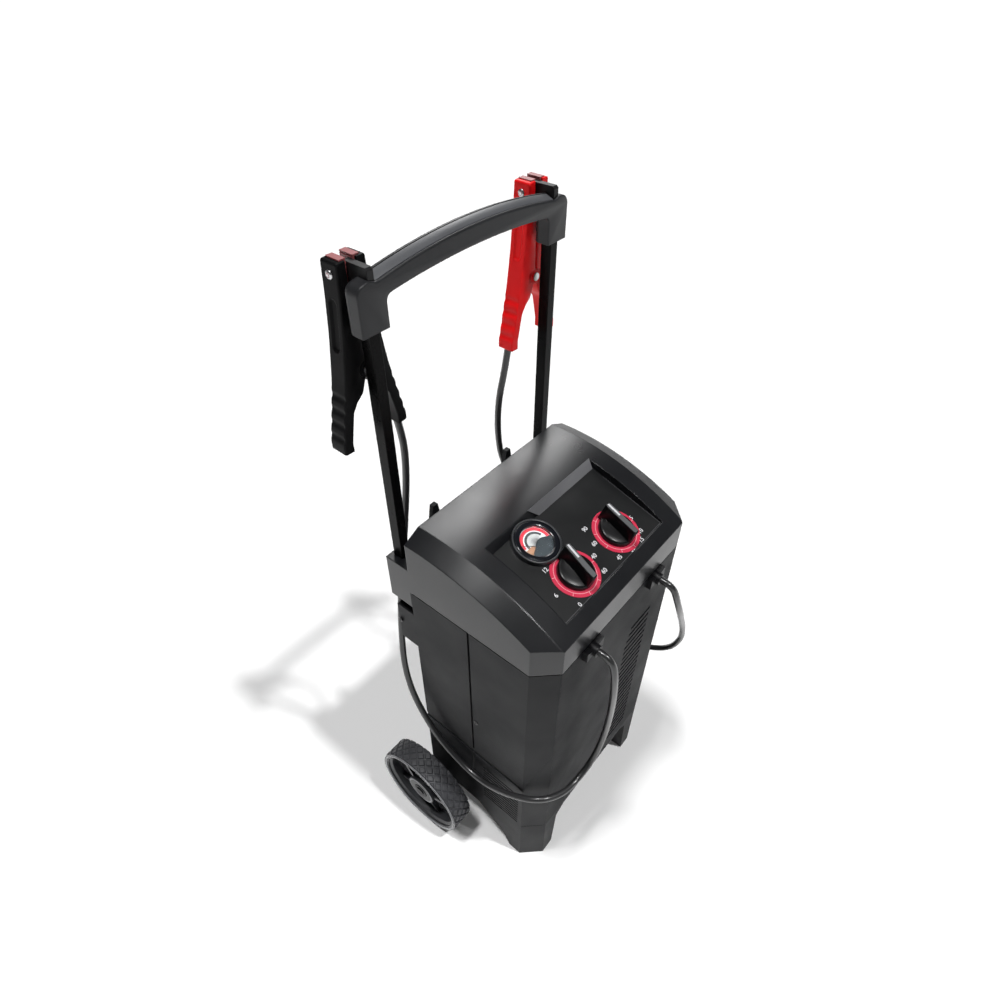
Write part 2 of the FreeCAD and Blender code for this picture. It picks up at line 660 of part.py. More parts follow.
def make_hood():
    outer = hood_solid(0, SEAM_Z)
    shell = outer.cut(hood_solid(WALL, SEAM_Z - 1))
    pan = recess(WALL).common(outer)
    tongue = plan(WALL + SEAT, SEAM_Z - TONGUE_H, SEAM_Z + WALL).cut(plan(WALL + SEAT + LIP_T,
                                                                          SEAM_Z - TONGUE_H - 1,
                                                                          SEAM_Z + WALL + 1))
    collar = plan(WALL / 2, SEAM_Z, SEAM_Z + WALL).cut(plan(WALL + SEAT + LIP_T, SEAM_Z - 1,
                                                            SEAM_Z + WALL + 1))
    # the front housing's wall stands behind the front panel, so the tongue starts behind it
    room = box(-HALF_FACE - WALL - SEAT, HALF_FACE + WALL + SEAT, -1, FASCIA_T + WALL + SEAT,
               SEAM_Z - TONGUE_H - 1, SEAM_Z)
    socket = box(BLOCK_HALF_IN, HALF_W, BODY_D - WALL / 2, BODY_D + SOCKET_D, SEAM_Z, SOCKET_Z1)
    socket = socket.fuse(box(BLOCK_HALF_IN, HALF_W, BODY_D + SEAT, BODY_D + SOCKET_D, SOCKET_Z0, SEAM_Z))
    shape = fused([shell, pan, tongue.cut(room), collar, socket, mirrored(socket)])
    hole = box(POST_X - POST_W / 2 - POST_FIT, POST_X + POST_W / 2 + POST_FIT,
               POST_Y - POST_D / 2 - POST_FIT,
               POST_Y + POST_D / 2 + POST_FIT, SOCKET_Z0 - 1, SOCKET_Z1 + 1)
    window = at_panel(box(-PANEL_HALF + RECESS_LEDGE, PANEL_HALF - RECESS_LEDGE, RECESS_LEDGE,
                          PANEL_V - RECESS_LEDGE,
                          -PLATE_T - 2 * WALL, 0).fuse(meter_disc(METER_BODY_R + 1, -PLATE_T - 2 * WALL,
                                                                  0)))
    seam = plan(-1, SEAM_Z, SEAM_Z + SEAM_GROOVE_H).cut(plan(SEAM_GROOVE_T, SEAM_Z - 1,
                                                             SEAM_Z + SEAM_GROOVE_H + 1))
    seam = seam.cut(box(-FAR, FAR, BODY_D - WALL, FAR, 0, FAR * 2))
    cuts = [recess(0), window, hole, mirrored(hole), seam]
    z = (HOOK_PLATE_Z0 + HOOK_ARM_Z) / 2
    for x in (HOOK_X, -HOOK_X):
        cuts.append(rod(SCREW_R + SEAT, (x, BODY_D - WALL - 1, z), (x, BODY_D + 1, z)))
    return shape.cut(cuts)


# the control panel
def make_control_panel():
    shape = box(-PANEL_HALF + SEAT, PANEL_HALF - SEAT, SEAT, PANEL_V - SEAT, -PLATE_T, 0)
    shape = shape.fuse(meter_disc(BEZEL_R, -PLATE_T, 0))
    holes = [rod(METER_BODY_R + SEAT, (METER_U, METER_V, -PLATE_T - 1), (METER_U, METER_V, 1)),
             rod(BUSH_R + SEAT, (SELECTOR_U, SELECTOR_V, -PLATE_T - 1), (SELECTOR_U, SELECTOR_V, 1)),
             rod(BUSH_R + SEAT, (TIMER_U, TIMER_V, -PLATE_T - 1), (TIMER_U, TIMER_V, 1))]
    return at_panel(shape.cut(holes))


def make_panel_strip():
    u1, v1 = PANEL_HALF - 2, PANEL_V - 1
    return at_panel(prism([(STRIP_U0 + STRIP_SLANT, STRIP_V0, 0), (u1, STRIP_V0, 0), (u1, v1, 0),
                           (STRIP_U0, v1, 0)],
                          (0, 0, STRIP_T)))


def make_dial_ring(u, v):
    # the meter's bezel covers a little of the ring beside it
    shape = ring(RING_R, RING_HOLE_R, (u, v, 0), (u, v, RING_T))
    return at_panel(shape.cut(meter_disc(BEZEL_R + SEAT, -1, RING_T + 1)))


def make_knob(u, v, point, depth):
    w0 = RING_T + KNOB_GAP
    disc = rod(KNOB_DISC_R, (0, 0, w0), (0, 0, w0 + KNOB_DISC_H))
    skirt = Part.makeCone(KNOB_DISC_R, KNOB_DISC_R - 2, KNOB_DISC_H / 4,
                          Vector(0, 0, w0 + KNOB_DISC_H * 3 / 4))
    disc = disc.common(rod(KNOB_DISC_R, (0, 0, 0), (0, 0, w0 + KNOB_DISC_H * 3 / 4))).fuse(skirt)
    # the grip bar leans out towards its foot
    w, foot, half = KNOB_BAR_W / 2, KNOB_BAR_W / 2 + 2, KNOB_BAR_L / 2
    bar = prism([(-foot, -half, w0), (foot, -half, w0), (w, -half, KNOB_H), (-w, -half, KNOB_H)],
                (0, 2 * half, 0))
    bar = bar.common(rod(half, (0, 0, w0), (0, 0, KNOB_H)))
    line = box(-0.8, 0.8, half / 4, half - 2, KNOB_H - 0.5, KNOB_H + 1)
    shaft = rod(SHAFT_R, (0, 0, -depth), (0, 0, w0 + 1))
    shape = fused([disc, bar, shaft]).cut(line)
    shape.rotate(Vector(0, 0, 0), Z_AXIS, -point)
    shape.translate(Vector(u, v, 0))
    return at_panel(shape)


def make_switch(u, v, width, height):
    half = width / 2 - SWITCH_EDGE
    body = box(-width / 2, width / 2, -half, half, -PLATE_T - height, -PLATE_T)
    bush = rod(BUSH_R, (0, 0, -PLATE_T - 1), (0, 0, RING_T))
    tabs = [box(-TAB_W / 2, TAB_W / 2, s * TAB_PITCH - TAB_T / 2, s * TAB_PITCH + TAB_T / 2,
                -PLATE_T - height - TAB_L,
                -PLATE_T - height + 1) for s in (-1, 0, 1)]
    shape = fused([body, bush] + tabs).cut(rod(SHAFT_R + RUNNING, (0, 0, -PLATE_T - height * 0.6),
                                               (0, 0, RING_T + 1)))
    shape.translate(Vector(u, v, 0))
    return at_panel(shape)


# the meter
def meter_shift(shape):
    shape = shape.copy()
    shape.translate(Vector(METER_U, METER_V, 0))
    return at_panel(shape)


BEZEL_IN_R = METER_BODY_R - METER_CUP
LENS_W = BEZEL_H - LENS_T - 1.2


def make_meter_body():
    body = rod(METER_BODY_R, (0, 0, -METER_DEPTH), (0, 0, 0))
    cup = rod(BEZEL_IN_R, (0, 0, DIAL_W - DIAL_T), (0, 0, 1))
    pivot = rod(NEEDLE_R + RUNNING, (0, NEEDLE_PIVOT_V, -METER_DEPTH / 2 - 1), (0, NEEDLE_PIVOT_V, 1))
    studs = fused([rod(2.0, (x, 0, -METER_DEPTH - 10), (x, 0, -METER_DEPTH + 1)) for x in (-12, 12)])
    return meter_shift(body.fuse(studs).cut(cup).cut(pivot))


def make_meter_dial():
    dial = rod(BEZEL_IN_R - SEAT, (0, 0, DIAL_W - DIAL_T), (0, 0, DIAL_W))
    return meter_shift(dial.cut(rod(2 * NEEDLE_R, (0, NEEDLE_PIVOT_V, DIAL_W - 1), (0, NEEDLE_PIVOT_V, 1))))


def make_meter_mask():
    # a wavy cover over the lower half of the dial
    r = BEZEL_IN_R - SEAT
    w0 = DIAL_W + 3 * NEEDLE_T
    disc = rod(r, (0, 0, w0), (0, 0, w0 + MASK_T))
    window = rod(r * 0.78, (-r * 0.16, r * 0.3, w0 - 1), (-r * 0.16, r * 0.3, w0 + MASK_T + 1))
    upper = box(-r - 1, r + 1, -2, r + 1, w0 - 1, w0 + MASK_T + 1)
    return meter_shift(disc.cut(upper.fuse(window.common(box(-r - 1, 2, -r, r + 1, w0 - 1,
                                                             w0 + MASK_T + 1)))))


def make_meter_needle():
    w0 = DIAL_W + NEEDLE_T
    hub = rod(2.2, (0, 0, w0), (0, 0, w0 + NEEDLE_T))
    blade = prism([(-NEEDLE_W / 2, 0, w0), (NEEDLE_W / 2, 0, w0), (NEEDLE_W / 6, NEEDLE_L, w0),
                   (-NEEDLE_W / 6, NEEDLE_L, w0)],
                  (0, 0, NEEDLE_T))
    tail = box(-NEEDLE_W, NEEDLE_W, -5, 0, w0, w0 + NEEDLE_T)
    shape = fused([hub, blade, tail, rod(NEEDLE_R, (0, 0, -METER_DEPTH / 2), (0, 0, w0 + NEEDLE_T))])
    shape.rotate(Vector(0, 0, 0), Z_AXIS, NEEDLE_REST)
    shape.translate(Vector(0, NEEDLE_PIVOT_V, 0))
    return meter_shift(shape)


def make_meter_bezel():
    outer = Part.makeCone(BEZEL_R, BEZEL_R - 1.5, BEZEL_H / 3, Vector(0, 0, BEZEL_H * 2 / 3)).fuse(
        rod(BEZEL_R, (0, 0, 0), (0, 0, BEZEL_H * 2 / 3)))
    bore = rod(BEZEL_IN_R, (0, 0, -1), (0, 0, LENS_W))
    seat = rod(BEZEL_IN_R + 1, (0, 0, LENS_W), (0, 0, BEZEL_H + 1))
    flare = Part.makeCone(BEZEL_IN_R + 1, BEZEL_IN_R + 1 + BEZEL_FACE / 2, BEZEL_H / 3,
                          Vector(0, 0, BEZEL_H * 2 / 3))
    return meter_shift(outer.cut(bore).cut(seat).cut(flare))


def make_meter_lens():
    r = BEZEL_IN_R + 1 - SEAT
    flat = rod(r, (0, 0, LENS_W), (0, 0, LENS_W + LENS_T))
    big = (r ** 2 + LENS_DOME ** 2) / (2 * LENS_DOME)
    ball = Part.makeSphere(big, Vector(0, 0, LENS_W + LENS_T + LENS_DOME - big))
    cap = ball.common(rod(r, (0, 0, LENS_W + LENS_T), (0, 0, LENS_W + LENS_T + LENS_DOME + 1)))
    return meter_shift(flat.fuse(cap))


# the handle
def make_post():
    x0, y0 = POST_X - POST_W / 2, POST_Y - POST_D / 2
    z0 = EAR_Z0 + EAR_FLOOR
    post = box(x0, x0 + POST_W, y0, y0 + POST_D, z0, POST_TOP_Z)
    bore = box(x0 + POST_WALL, x0 + POST_W - POST_WALL, y0 + POST_WALL, y0 + POST_D - POST_WALL, z0 - 1,
               POST_TOP_Z + 1)
    zs = (EAR_Z0 + EAR_FLOOR + EAR_Z1) / 2
    ze = (ELBOW_Z + POST_TOP_Z) / 2
    holes = [rod(SCREW_R + SEAT, (POST_X, POST_Y, zs), (POST_X + POST_W, POST_Y, zs)),
             rod(SCREW_R + SEAT, (POST_X, POST_Y, ze), (POST_X, POST_Y + POST_D, ze))]
    return post.cut(bore).cut(holes)


def arc_frame(half, z_end, z_mid):
    # centre height and radius of the arc through (-half, z_end), (0, z_mid), (half, z_end)
    rise = z_mid - z_end
    r = (half ** 2 + rise ** 2) / (2 * rise)
    return z_mid - r, r


def corner_on(half, z_end, z_mid, x, r):
    # a round of radius r between that arc and the upright line at x: where it leaves each, and its middle
    zc, big = arc_frame(half, z_end, z_mid)
    cx, cz = x - r, zc + math.sqrt((big - r) ** 2 - (x - r) ** 2)
    k = big / (big - r)
    on_arc = (cx * k, zc + (cz - zc) * k)
    on_line = (x, cz)
    turn = math.atan2(cz - zc, cx) / 2
    return on_arc, (cx + r * math.cos(turn), cz + r * math.sin(turn)), on_line


def make_grip():
    y = GRIP_Y0
    top = corner_on(GRIP_END_X, GRIP_END_Z, GRIP_TOP_Z, ELBOW_OUT, ELBOW_ROUND)
    low = corner_on(ELBOW_IN, GRIP_BOTTOM_END_Z, GRIP_BOTTOM_Z, ELBOW_IN, INNER_ROUND)

    def at(p, s=1):
        return Vector(s * p[0], y, p[1])

    def side(s):
        return [Part.Arc(at(top[0], s), at(top[1], s), at(top[2], s)).toShape(),
                Part.makePolygon([at(top[2], s), Vector(s * ELBOW_OUT, y, ELBOW_Z),
                                  Vector(s * ELBOW_IN, y, ELBOW_Z), at(low[2], s)]),
                Part.Arc(at(low[2], s), at(low[1], s), at(low[0], s)).toShape()]

    edges = []
    for part in [Part.Arc(at(top[0], -1), Vector(0, y, GRIP_TOP_Z), at(top[0])).toShape()] + side(1) + \
            [Part.Arc(at(low[0]), Vector(0, y, GRIP_BOTTOM_Z), at(low[0], -1)).toShape()] + side(-1):
        edges += part.Edges
    wire = Part.Wire(Part.sortEdges(edges)[0])
    solid = Part.Face(wire).extrude(Vector(0, GRIP_D, 0))
    # round the long edges, not the cut ends of the elbows
    long_edges = [e for e in solid.Edges if e.BoundBox.YLength < 0.01 and e.BoundBox.ZMax > ELBOW_Z + 1]
    solid = solid.makeFillet(GRIP_ROUND, long_edges)
    x0, y0 = POST_X - POST_W / 2 - POST_FIT, POST_Y - POST_D / 2 - POST_FIT
    pocket = box(x0, x0 + POST_W + 2 * POST_FIT, y0, y0 + POST_D + 2 * POST_FIT, ELBOW_Z - 1, POST_TOP_Z)
    slot = box(REST_X - REST_T / 2, REST_X + REST_T / 2, GRIP_Y0 + WALL, FAR, REST_Z0, REST_Z1 + WALL)
    ze = (ELBOW_Z + POST_TOP_Z) / 2
    pilot = rod(SCREW_R + SEAT, (POST_X, POST_Y, ze), (POST_X, FAR, ze))
    sink = rod(SCREW_HEAD_R + SEAT, (POST_X, GRIP_Y0 + GRIP_D - SCREW_HEAD_H + HEAD_PROUD, ze),
               (POST_X, FAR, ze))
    cuts = [pocket, slot, pilot, sink]
    return solid.cut(cuts + [mirrored(c) for c in cuts])


def make_rest():
    y0 = GRIP_Y0 + WALL
    plate = box(REST_X - REST_T / 2, REST_X + REST_T / 2, y0, REST_REAR_Y, REST_Z0, REST_Z1)
    nose = prism([(REST_X - REST_T, y0 - 1, REST_Z1 + 1),
                  (REST_X - REST_T, y0 - 1, REST_Z1 - REST_NOSE - 1),
                  (REST_X - REST_T, y0 + REST_NOSE + 1, REST_Z1 + 1)], (2 * REST_T, 0, 0))
    return plate.cut(nose)


def screw(tip, head):
    # shank from tip to head, pan head beyond it
    tip, head = Vector(*tip), Vector(*head)
    way = (head - tip).normalize()
    shank = Part.makeCylinder(SCREW_R - 0.1, (head - tip).Length, tip, way)
    pan = Part.makeCylinder(SCREW_HEAD_R - 0.2, SCREW_HEAD_H, head, way)
    drive = Part.makeCylinder(SCREW_R * 0.7, SCREW_HEAD_H / 2, head + way * SCREW_HEAD_H / 2, way)
    return shank.fuse(pan).cut(drive)


def make_handle_screws():
    zs = (EAR_Z0 + EAR_FLOOR + EAR_Z1) / 2
    ze = (ELBOW_Z + POST_TOP_Z) / 2
    low = screw((POST_X + POST_W / 2 - POST_WALL - 1, POST_Y, zs), (HALF_W, POST_Y, zs))
    high = screw((POST_X, POST_Y + POST_D / 2 - POST_WALL - 1, ze),
                 (POST_X, GRIP_Y0 + GRIP_D - SCREW_HEAD_H + HEAD_PROUD, ze))
    return Part.makeCompound([low, high, mirrored(low), mirrored(high)])


def make_housing_screws():
    x = HALF_W - WALL / 2
    one = screw((x - SCREW_L / 2, screw_y(), HOUSING_SCREW_Z), (x, screw_y(), HOUSING_SCREW_Z))
    return Part.makeCompound([one, mirrored(one)])


# the clamps
def clamp_at(shape, x):
    shape = shape.copy()
    shape.translate(Vector(x, CLAMP_Y, CLAMP_PIVOT_Z))
    return shape


JAW_X = REST_T / 2 + JAW_PLAY
HALF_CLAMP = CLAMP_W / 2
CLAMP_TOP = CLAMP_OUTER[0][1]
CLAMP_END = CLAMP_OUTER[-1][1]
CLAMP_END_X = CLAMP_OUTER[-1][0]


def outer_x(z):
    pts = CLAMP_OUTER
    for (xa, za), (xb, zb) in zip(pts, pts[1:]):
        if zb <= z <= za:
            return xa + (xb - xa) * (za - z) / (za - zb)
    return pts[0][0]


def clamp_half():
    # the +x half: jaw above the pivot, handle below it
    t = math.tan(math.radians(CLAMP_V))
    z_low = -KNUCKLE_R * math.cos(math.radians(CLAMP_V))
    # wide as far down as the spring's leg reaches, then a slimmer handle
    z_leg = -(SPRING_LEG + SPRING_WIRE) * math.cos(math.radians(CLAMP_V))
    z_bar = z_leg - CLAMP_NECK
    inner = [(JAW_X + JAW_T, CLAMP_TOP), (JAW_X + JAW_T, JAW_Z0), (CLAMP_GAP, JAW_Z0 - 5), (CLAMP_GAP, 0),
             (-z_low * t, z_low),
             (-z_leg * t, z_leg)]
    inner += [(outer_x(z) - CLAMP_HANDLE_T, z) for z in (z_bar, CLAMP_OUTER[-2][1], CLAMP_END)]
    pts = [(x, -HALF_CLAMP, z) for x, z in list(CLAMP_OUTER) + inner[::-1]]
    return prism(pts, (0, CLAMP_W, 0))


def clamp_waves():
    cuts = []
    (xa, za), (xb, zb) = CLAMP_OUTER[3], CLAMP_OUTER[4]
    slope = math.hypot(xb - xa, zb - za)
    nx, nz = (za - zb) / slope, (xb - xa) / slope
    for i in range(WAVES + 1):
        s = (slope - WAVES * WAVE_PITCH) + i * WAVE_PITCH
        x, z = xa + (xb - xa) * s / slope, za + (zb - za) * s / slope
        c = (x + nx * (WAVE_R - WAVE_DEPTH), z + nz * (WAVE_R - WAVE_DEPTH))
        cuts.append(rod(WAVE_R, (c[0], -CLAMP_W, c[1]), (c[0], CLAMP_W, c[1])))
    return cuts


def knuckle_spans(fixed):
    outer = (HALF_CLAMP - KNUCKLE_W, HALF_CLAMP)
    inner = (HALF_CLAMP - 2 * KNUCKLE_W - KNUCKLE_STEP, HALF_CLAMP - KNUCKLE_W - KNUCKLE_STEP)
    a, b = outer if fixed else inner
    return [(a, b), (-b, -a)]


def make_clamp_half(fixed, lead_side):
    shape = clamp_half()
    room = rod(KNUCKLE_R + KNUCKLE_GAP, (0, -CLAMP_W, 0), (0, CLAMP_W, 0))
    for y0, y1 in knuckle_spans(fixed):
        room = room.cut(box(-FAR, FAR, y0, y1, -FAR, FAR))
    shape = shape.cut(room)
    discs = [rod(KNUCKLE_R, (0, y0, 0), (0, y1, 0)) for y0, y1 in knuckle_spans(fixed)]
    shape = fused([shape] + discs)
    cuts = clamp_waves()
    cuts.append(rod(PIN_R + RUNNING, (0, -CLAMP_W, 0), (0, CLAMP_W, 0)))
    cuts.append(rod(RIVET_R + SEAT, (0, 0, RIVET_Z), (FAR, 0, RIVET_Z)))
    # long shallow slot on the outer face
    slot = [(outer_x(z) + d, -HALF_CLAMP / 3, z) for z, d in ((GRIP_SLOT_Z1, 1), (GRIP_SLOT_Z1,
                                                                                  -GRIP_SLOT_D),
                                                              (GRIP_SLOT_Z0, -GRIP_SLOT_D),
                                                              (GRIP_SLOT_Z0, 1))]
    cuts.append(prism(slot, (0, CLAMP_W / 3, 0)))
    # groove that the spring's leg lies in
    cuts.append(leg_room())
    if fixed == lead_side:
        tilt = math.radians(LEAD_TILT)
        x, deep = CLAMP_END_X - CLAMP_HANDLE_T / 2, LEAD_IN + 1
        cuts.append(rod(LEAD_HOLE_R, (x + math.sin(tilt) * 5, 0, CLAMP_END - math.cos(tilt) * 5),
                        (x - math.sin(tilt) * deep, 0, CLAMP_END + math.cos(tilt) * deep)))
    return shape.cut(cuts)


def leg_room():
    # channel in the inner face of a handle that a leg of the spring lies in
    half = SPRING_TURNS * SPRING_PITCH / 2 + 2 * SPRING_WIRE
    room = box(-CLAMP_HANDLE_T, SPRING_R + SPRING_WIRE, -half, half, -SPRING_LEG - SPRING_WIRE, 0)
    room.rotate(Vector(0, 0, 0), Y_AXIS, -CLAMP_V)
    return room


def make_jaw():
    x0, x1 = JAW_X, JAW_X + JAW_T
    top = CLAMP_TOP + JAW_PROUD
    plate = box(x0, x1, -JAW_W / 2, JAW_W / 2, JAW_Z0, top)
    cover = box(x1, x1 + JAW_COVER, -JAW_W / 2, JAW_W / 2, CLAMP_TOP, top)
    pitch = (top - JAW_Z0) / JAW_TEETH
    teeth = []
    for i in range(JAW_TEETH):
        z = JAW_Z0 + (i + 0.5) * pitch
        teeth.append(prism([(x0 - 1, -JAW_W, z - JAW_TOOTH - 1), (x0 + JAW_TOOTH, -JAW_W, z),
                            (x0 - 1, -JAW_W, z + JAW_TOOTH + 1)], (0, 2 * JAW_W, 0)))
    x_head = outer_x(RIVET_Z - 2 * RIVET_R)
    stem = rod(RIVET_R, (x1 - 1, 0, RIVET_Z), (x_head + 0.5, 0, RIVET_Z))
    head = Part.makeCone(RIVET_R * 1.9, RIVET_R, 1.6, Vector(x_head, 0, RIVET_Z), X_AXIS)
    return fused([plate, cover, stem, head]).cut(teeth)


def make_pin():
    y = HALF_CLAMP
    return fused([rod(PIN_R, (0, -y - 0.5, 0), (0, y + 0.5, 0)), rod(PIN_HEAD_R, (0, y + SEAT, 0),
                                                                     (0, y + SEAT + PIN_HEAD_H, 0)),
                  rod(PIN_HEAD_R, (0, -y - SEAT - PIN_HEAD_H, 0), (0, -y - SEAT, 0))])


def bow(a, heading, b):
    # arc from a to b that leaves a along heading
    c = b - a
    way = c * (1 / c.Length)
    side = heading - way * heading.dot(way)
    side = side * (1 / side.Length)
    angle = math.acos(max(-1.0, min(1.0, heading.dot(way))))
    return Part.Arc(a, a + c * 0.5 + side * (c.Length / 2 * math.tan(angle / 2)), b).toShape()


def biarc(p0, t0, p1, t1):
    v, t = p1 - p0, t0 + t1
    k = 2 * (1 - t0.dot(t1))
    d = (-v.dot(t) + math.sqrt(v.dot(t) ** 2 + k * v.dot(v))) / k
    middle = (p0 + t0 * d + p1 - t1 * d) * 0.5
    return [bow(p0, t0, middle), bow(p1, t1 * -1, middle)]


# the coil runs from the leg in the -x handle round to the leg in the +x handle
SPRING_SWEEP = 2 * math.pi * int(SPRING_TURNS) + math.pi - 2 * math.radians(CLAMP_V)


def spring_spot(f):
    a = math.pi - math.radians(CLAMP_V) - f * SPRING_SWEEP
    return Vector(SPRING_R * math.cos(a), SPRING_TURNS * SPRING_PITCH * (f - 0.5), SPRING_R * math.sin(a))


def spring_heading(f):
    a = math.pi - math.radians(CLAMP_V) - f * SPRING_SWEEP
    d = Vector(SPRING_R * math.sin(a) * SPRING_SWEEP, SPRING_TURNS * SPRING_PITCH,
               -SPRING_R * math.cos(a) * SPRING_SWEEP)
    return d * (1 / d.Length)


def make_spring():
    n = int(SPRING_TURNS * 4) + 1
    start = spring_spot(0) - spring_heading(0) * SPRING_LEG
    end = spring_spot(1) + spring_heading(1) * SPRING_LEG
    edges = [Part.LineSegment(start, spring_spot(0)).toShape()]
    for i in range(n):
        edges += biarc(spring_spot(i / n), spring_heading(i / n), spring_spot((i + 1) / n),
                       spring_heading((i + 1) / n))
    edges.append(Part.LineSegment(spring_spot(1), end).toShape())
    path = Part.Wire(Part.sortEdges(edges)[0])
    section = Part.Wire(Part.makeCircle(SPRING_WIRE / 2, start, spring_heading(0)))
    tube = path.makePipeShell([section], True, False)
    least = min((spring_spot(i / 200) - spring_spot(j / 200)).Length for i in range(201) for j in range(i)
                if (i - j) / 200 * SPRING_SWEEP > math.pi)
    print("spring least gap to itself", round(least - SPRING_WIRE, 2), "volume ratio",
          round(tube.Volume / (path.Length * math.pi * SPRING_WIRE ** 2 / 4), 4))
    return tube


# the wheels
def make_axle():
    x = HUB_FACE + CAP_T / 2
    return rod(AXLE_R, (-x, AXLE_Y, AXLE_Z), (x, AXLE_Y, AXLE_Z))


def revolved(points):
    # closed profile of (x, r) turned about the axle
    pts = [Vector(x, AXLE_Y, AXLE_Z + r) for x, r in points]
    face = Part.Face(Part.makePolygon(pts + pts[:1]))
    return face.revolve(Vector(0, AXLE_Y, AXLE_Z), X_AXIS, 360)


def make_wheel():
    x1, x0 = WHEEL_OUT_X, WHEEL_OUT_X - TYRE_W
    xw = x1 - DISH_DEPTH
    xf = x1 - RIM_FACE
    flange = WHEEL_R - RIM_STEP
    rim = revolved([(x0 + RIM_IN, RIM_R), (x0 + RIM_IN, RIM_R - RIM_T),
                    (xf - DISH_DEPTH / 3, RIM_R - RIM_T),
                    (xf, flange - RIM_EDGE), (xf, flange), (x1 - RIM_LIP, flange), (x1 - RIM_LIP, RIM_R)])
    web = revolved([(xw - DISH_T, AXLE_R + RUNNING), (xw - DISH_T, RIM_R - RIM_T / 3),
                    (xw, RIM_R - RIM_T / 3), (xw, AXLE_R + RUNNING)])
    xh = HUB_FACE - RIM_FACE
    hub = revolved([(x0, AXLE_R + RUNNING), (x0, HUB_IN_R), (xw - DISH_T / 4, HUB_R), (xh, HUB_R),
                    (xh, HUB_R - HUB_LIP),
                    (HUB_FACE - HUB_LIP, HUB_IN_R), (HUB_FACE - HUB_LIP, AXLE_R + RUNNING)])
    shape = fused([rim, web, hub])
    parts = []
    for i in range(SPOKES):
        a = 360.0 * i / SPOKES - SPOKE_TURN
        y, z0, z1 = AXLE_Y - RIB_T / 2, AXLE_Z + HUB_R - HUB_LIP / 4, AXLE_Z + RIM_R - RIM_T * 5 / 6
        rib = prism([(xw - DISH_T / 4, y, z0), (HUB_FACE - RIB_END, y, z0), (xw + RIB_END, y, z1),
                     (xw - DISH_T / 4, y, z1)], (0, RIB_T, 0))
        rib.rotate(Vector(0, AXLE_Y, AXLE_Z), X_AXIS, a)
        parts.append(rib)
    shape = fused([shape] + parts)
    slots = []
    for i in range(SLOTS):
        a0 = 360.0 * (i + 0.5) / SLOTS - SPOKE_TURN
        face = ring(SLOT_R1, SLOT_R0, (xw - DISH_T - 1, AXLE_Y, AXLE_Z), (xw + 1, AXLE_Y, AXLE_Z))
        dy, dz = RIM_R * math.sin(math.radians(SLOT_HALF)), RIM_R * math.cos(math.radians(SLOT_HALF))
        wedge = prism([(xw - 2 * DISH_T, AXLE_Y, AXLE_Z), (xw - 2 * DISH_T, AXLE_Y - dy, AXLE_Z + dz),
                       (xw - 2 * DISH_T, AXLE_Y + dy, AXLE_Z + dz)], (4 * DISH_T, 0, 0))
        piece = face.common(wedge)
        piece.rotate(Vector(0, AXLE_Y, AXLE_Z), X_AXIS, a0)
        slots.append(piece)
    return shape.cut(slots)


def make_tyre():
    x1, x0 = WHEEL_OUT_X, WHEEL_OUT_X - TYRE_W
    r0 = RIM_R + SEAT
    side = x1 - RIM_LIP - SEAT
    xm = (x0 + side) / 2
    tyre = revolved([(x0, r0), (x0, WHEEL_R - TYRE_SHOULDER), (x0 + TYRE_BEVEL, WHEEL_R - TYRE_CROWN),
                     (x0 + TYRE_SHOULDER, WHEEL_R),
                     (side - TYRE_SHOULDER, WHEEL_R), (side - TYRE_BEVEL, WHEEL_R - TYRE_CROWN),
                     (side, WHEEL_R - TYRE_SHOULDER), (side, r0)])
    cuts = []
    for i in range(TREAD_LUGS):
        for s in (-1, 1):
            one = box(-TYRE_W * 0.42, TYRE_W * 0.42, -TREAD_SLOT / 2, TREAD_SLOT / 2, WHEEL_R - TREAD_DEPTH,
                      WHEEL_R + TREAD_SLOT)
            one.rotate(Vector(0, 0, 0), Z_AXIS, s * TREAD_SKEW)
            one.translate(Vector(s * TYRE_W * 0.34, 0, 0))
            one.rotate(Vector(0, 0, 0), X_AXIS, 360.0 * (i + 0.25 * (s + 1)) / TREAD_LUGS)
            one.translate(Vector(xm, AXLE_Y, AXLE_Z))
            cuts.append(one)
    return tyre.cut(cuts)


def make_caps():
    x1 = HUB_FACE - 1
    cap = rod(CAP_R, (x1 - 2, AXLE_Y, AXLE_Z), (x1 + 1, AXLE_Y, AXLE_Z))
    nub = rod(CAP_NUB_R + 1.5, (x1, AXLE_Y, AXLE_Z), (x1 + CAP_T, AXLE_Y, AXLE_Z))
    shape = cap.fuse(nub).cut(rod(AXLE_R, (x1 - 4, AXLE_Y, AXLE_Z), (HUB_FACE + CAP_T / 2, AXLE_Y, AXLE_Z)))
    return Part.makeCompound([shape, mirrored(shape)])


def make_spacers():
    shape = ring(SPACER_R, AXLE_R + POST_FIT, (HALF_W, AXLE_Y, AXLE_Z),
                 (WHEEL_OUT_X - TYRE_W - SEAT, AXLE_Y, AXLE_Z))
    return Part.makeCompound([shape, mirrored(shape)])


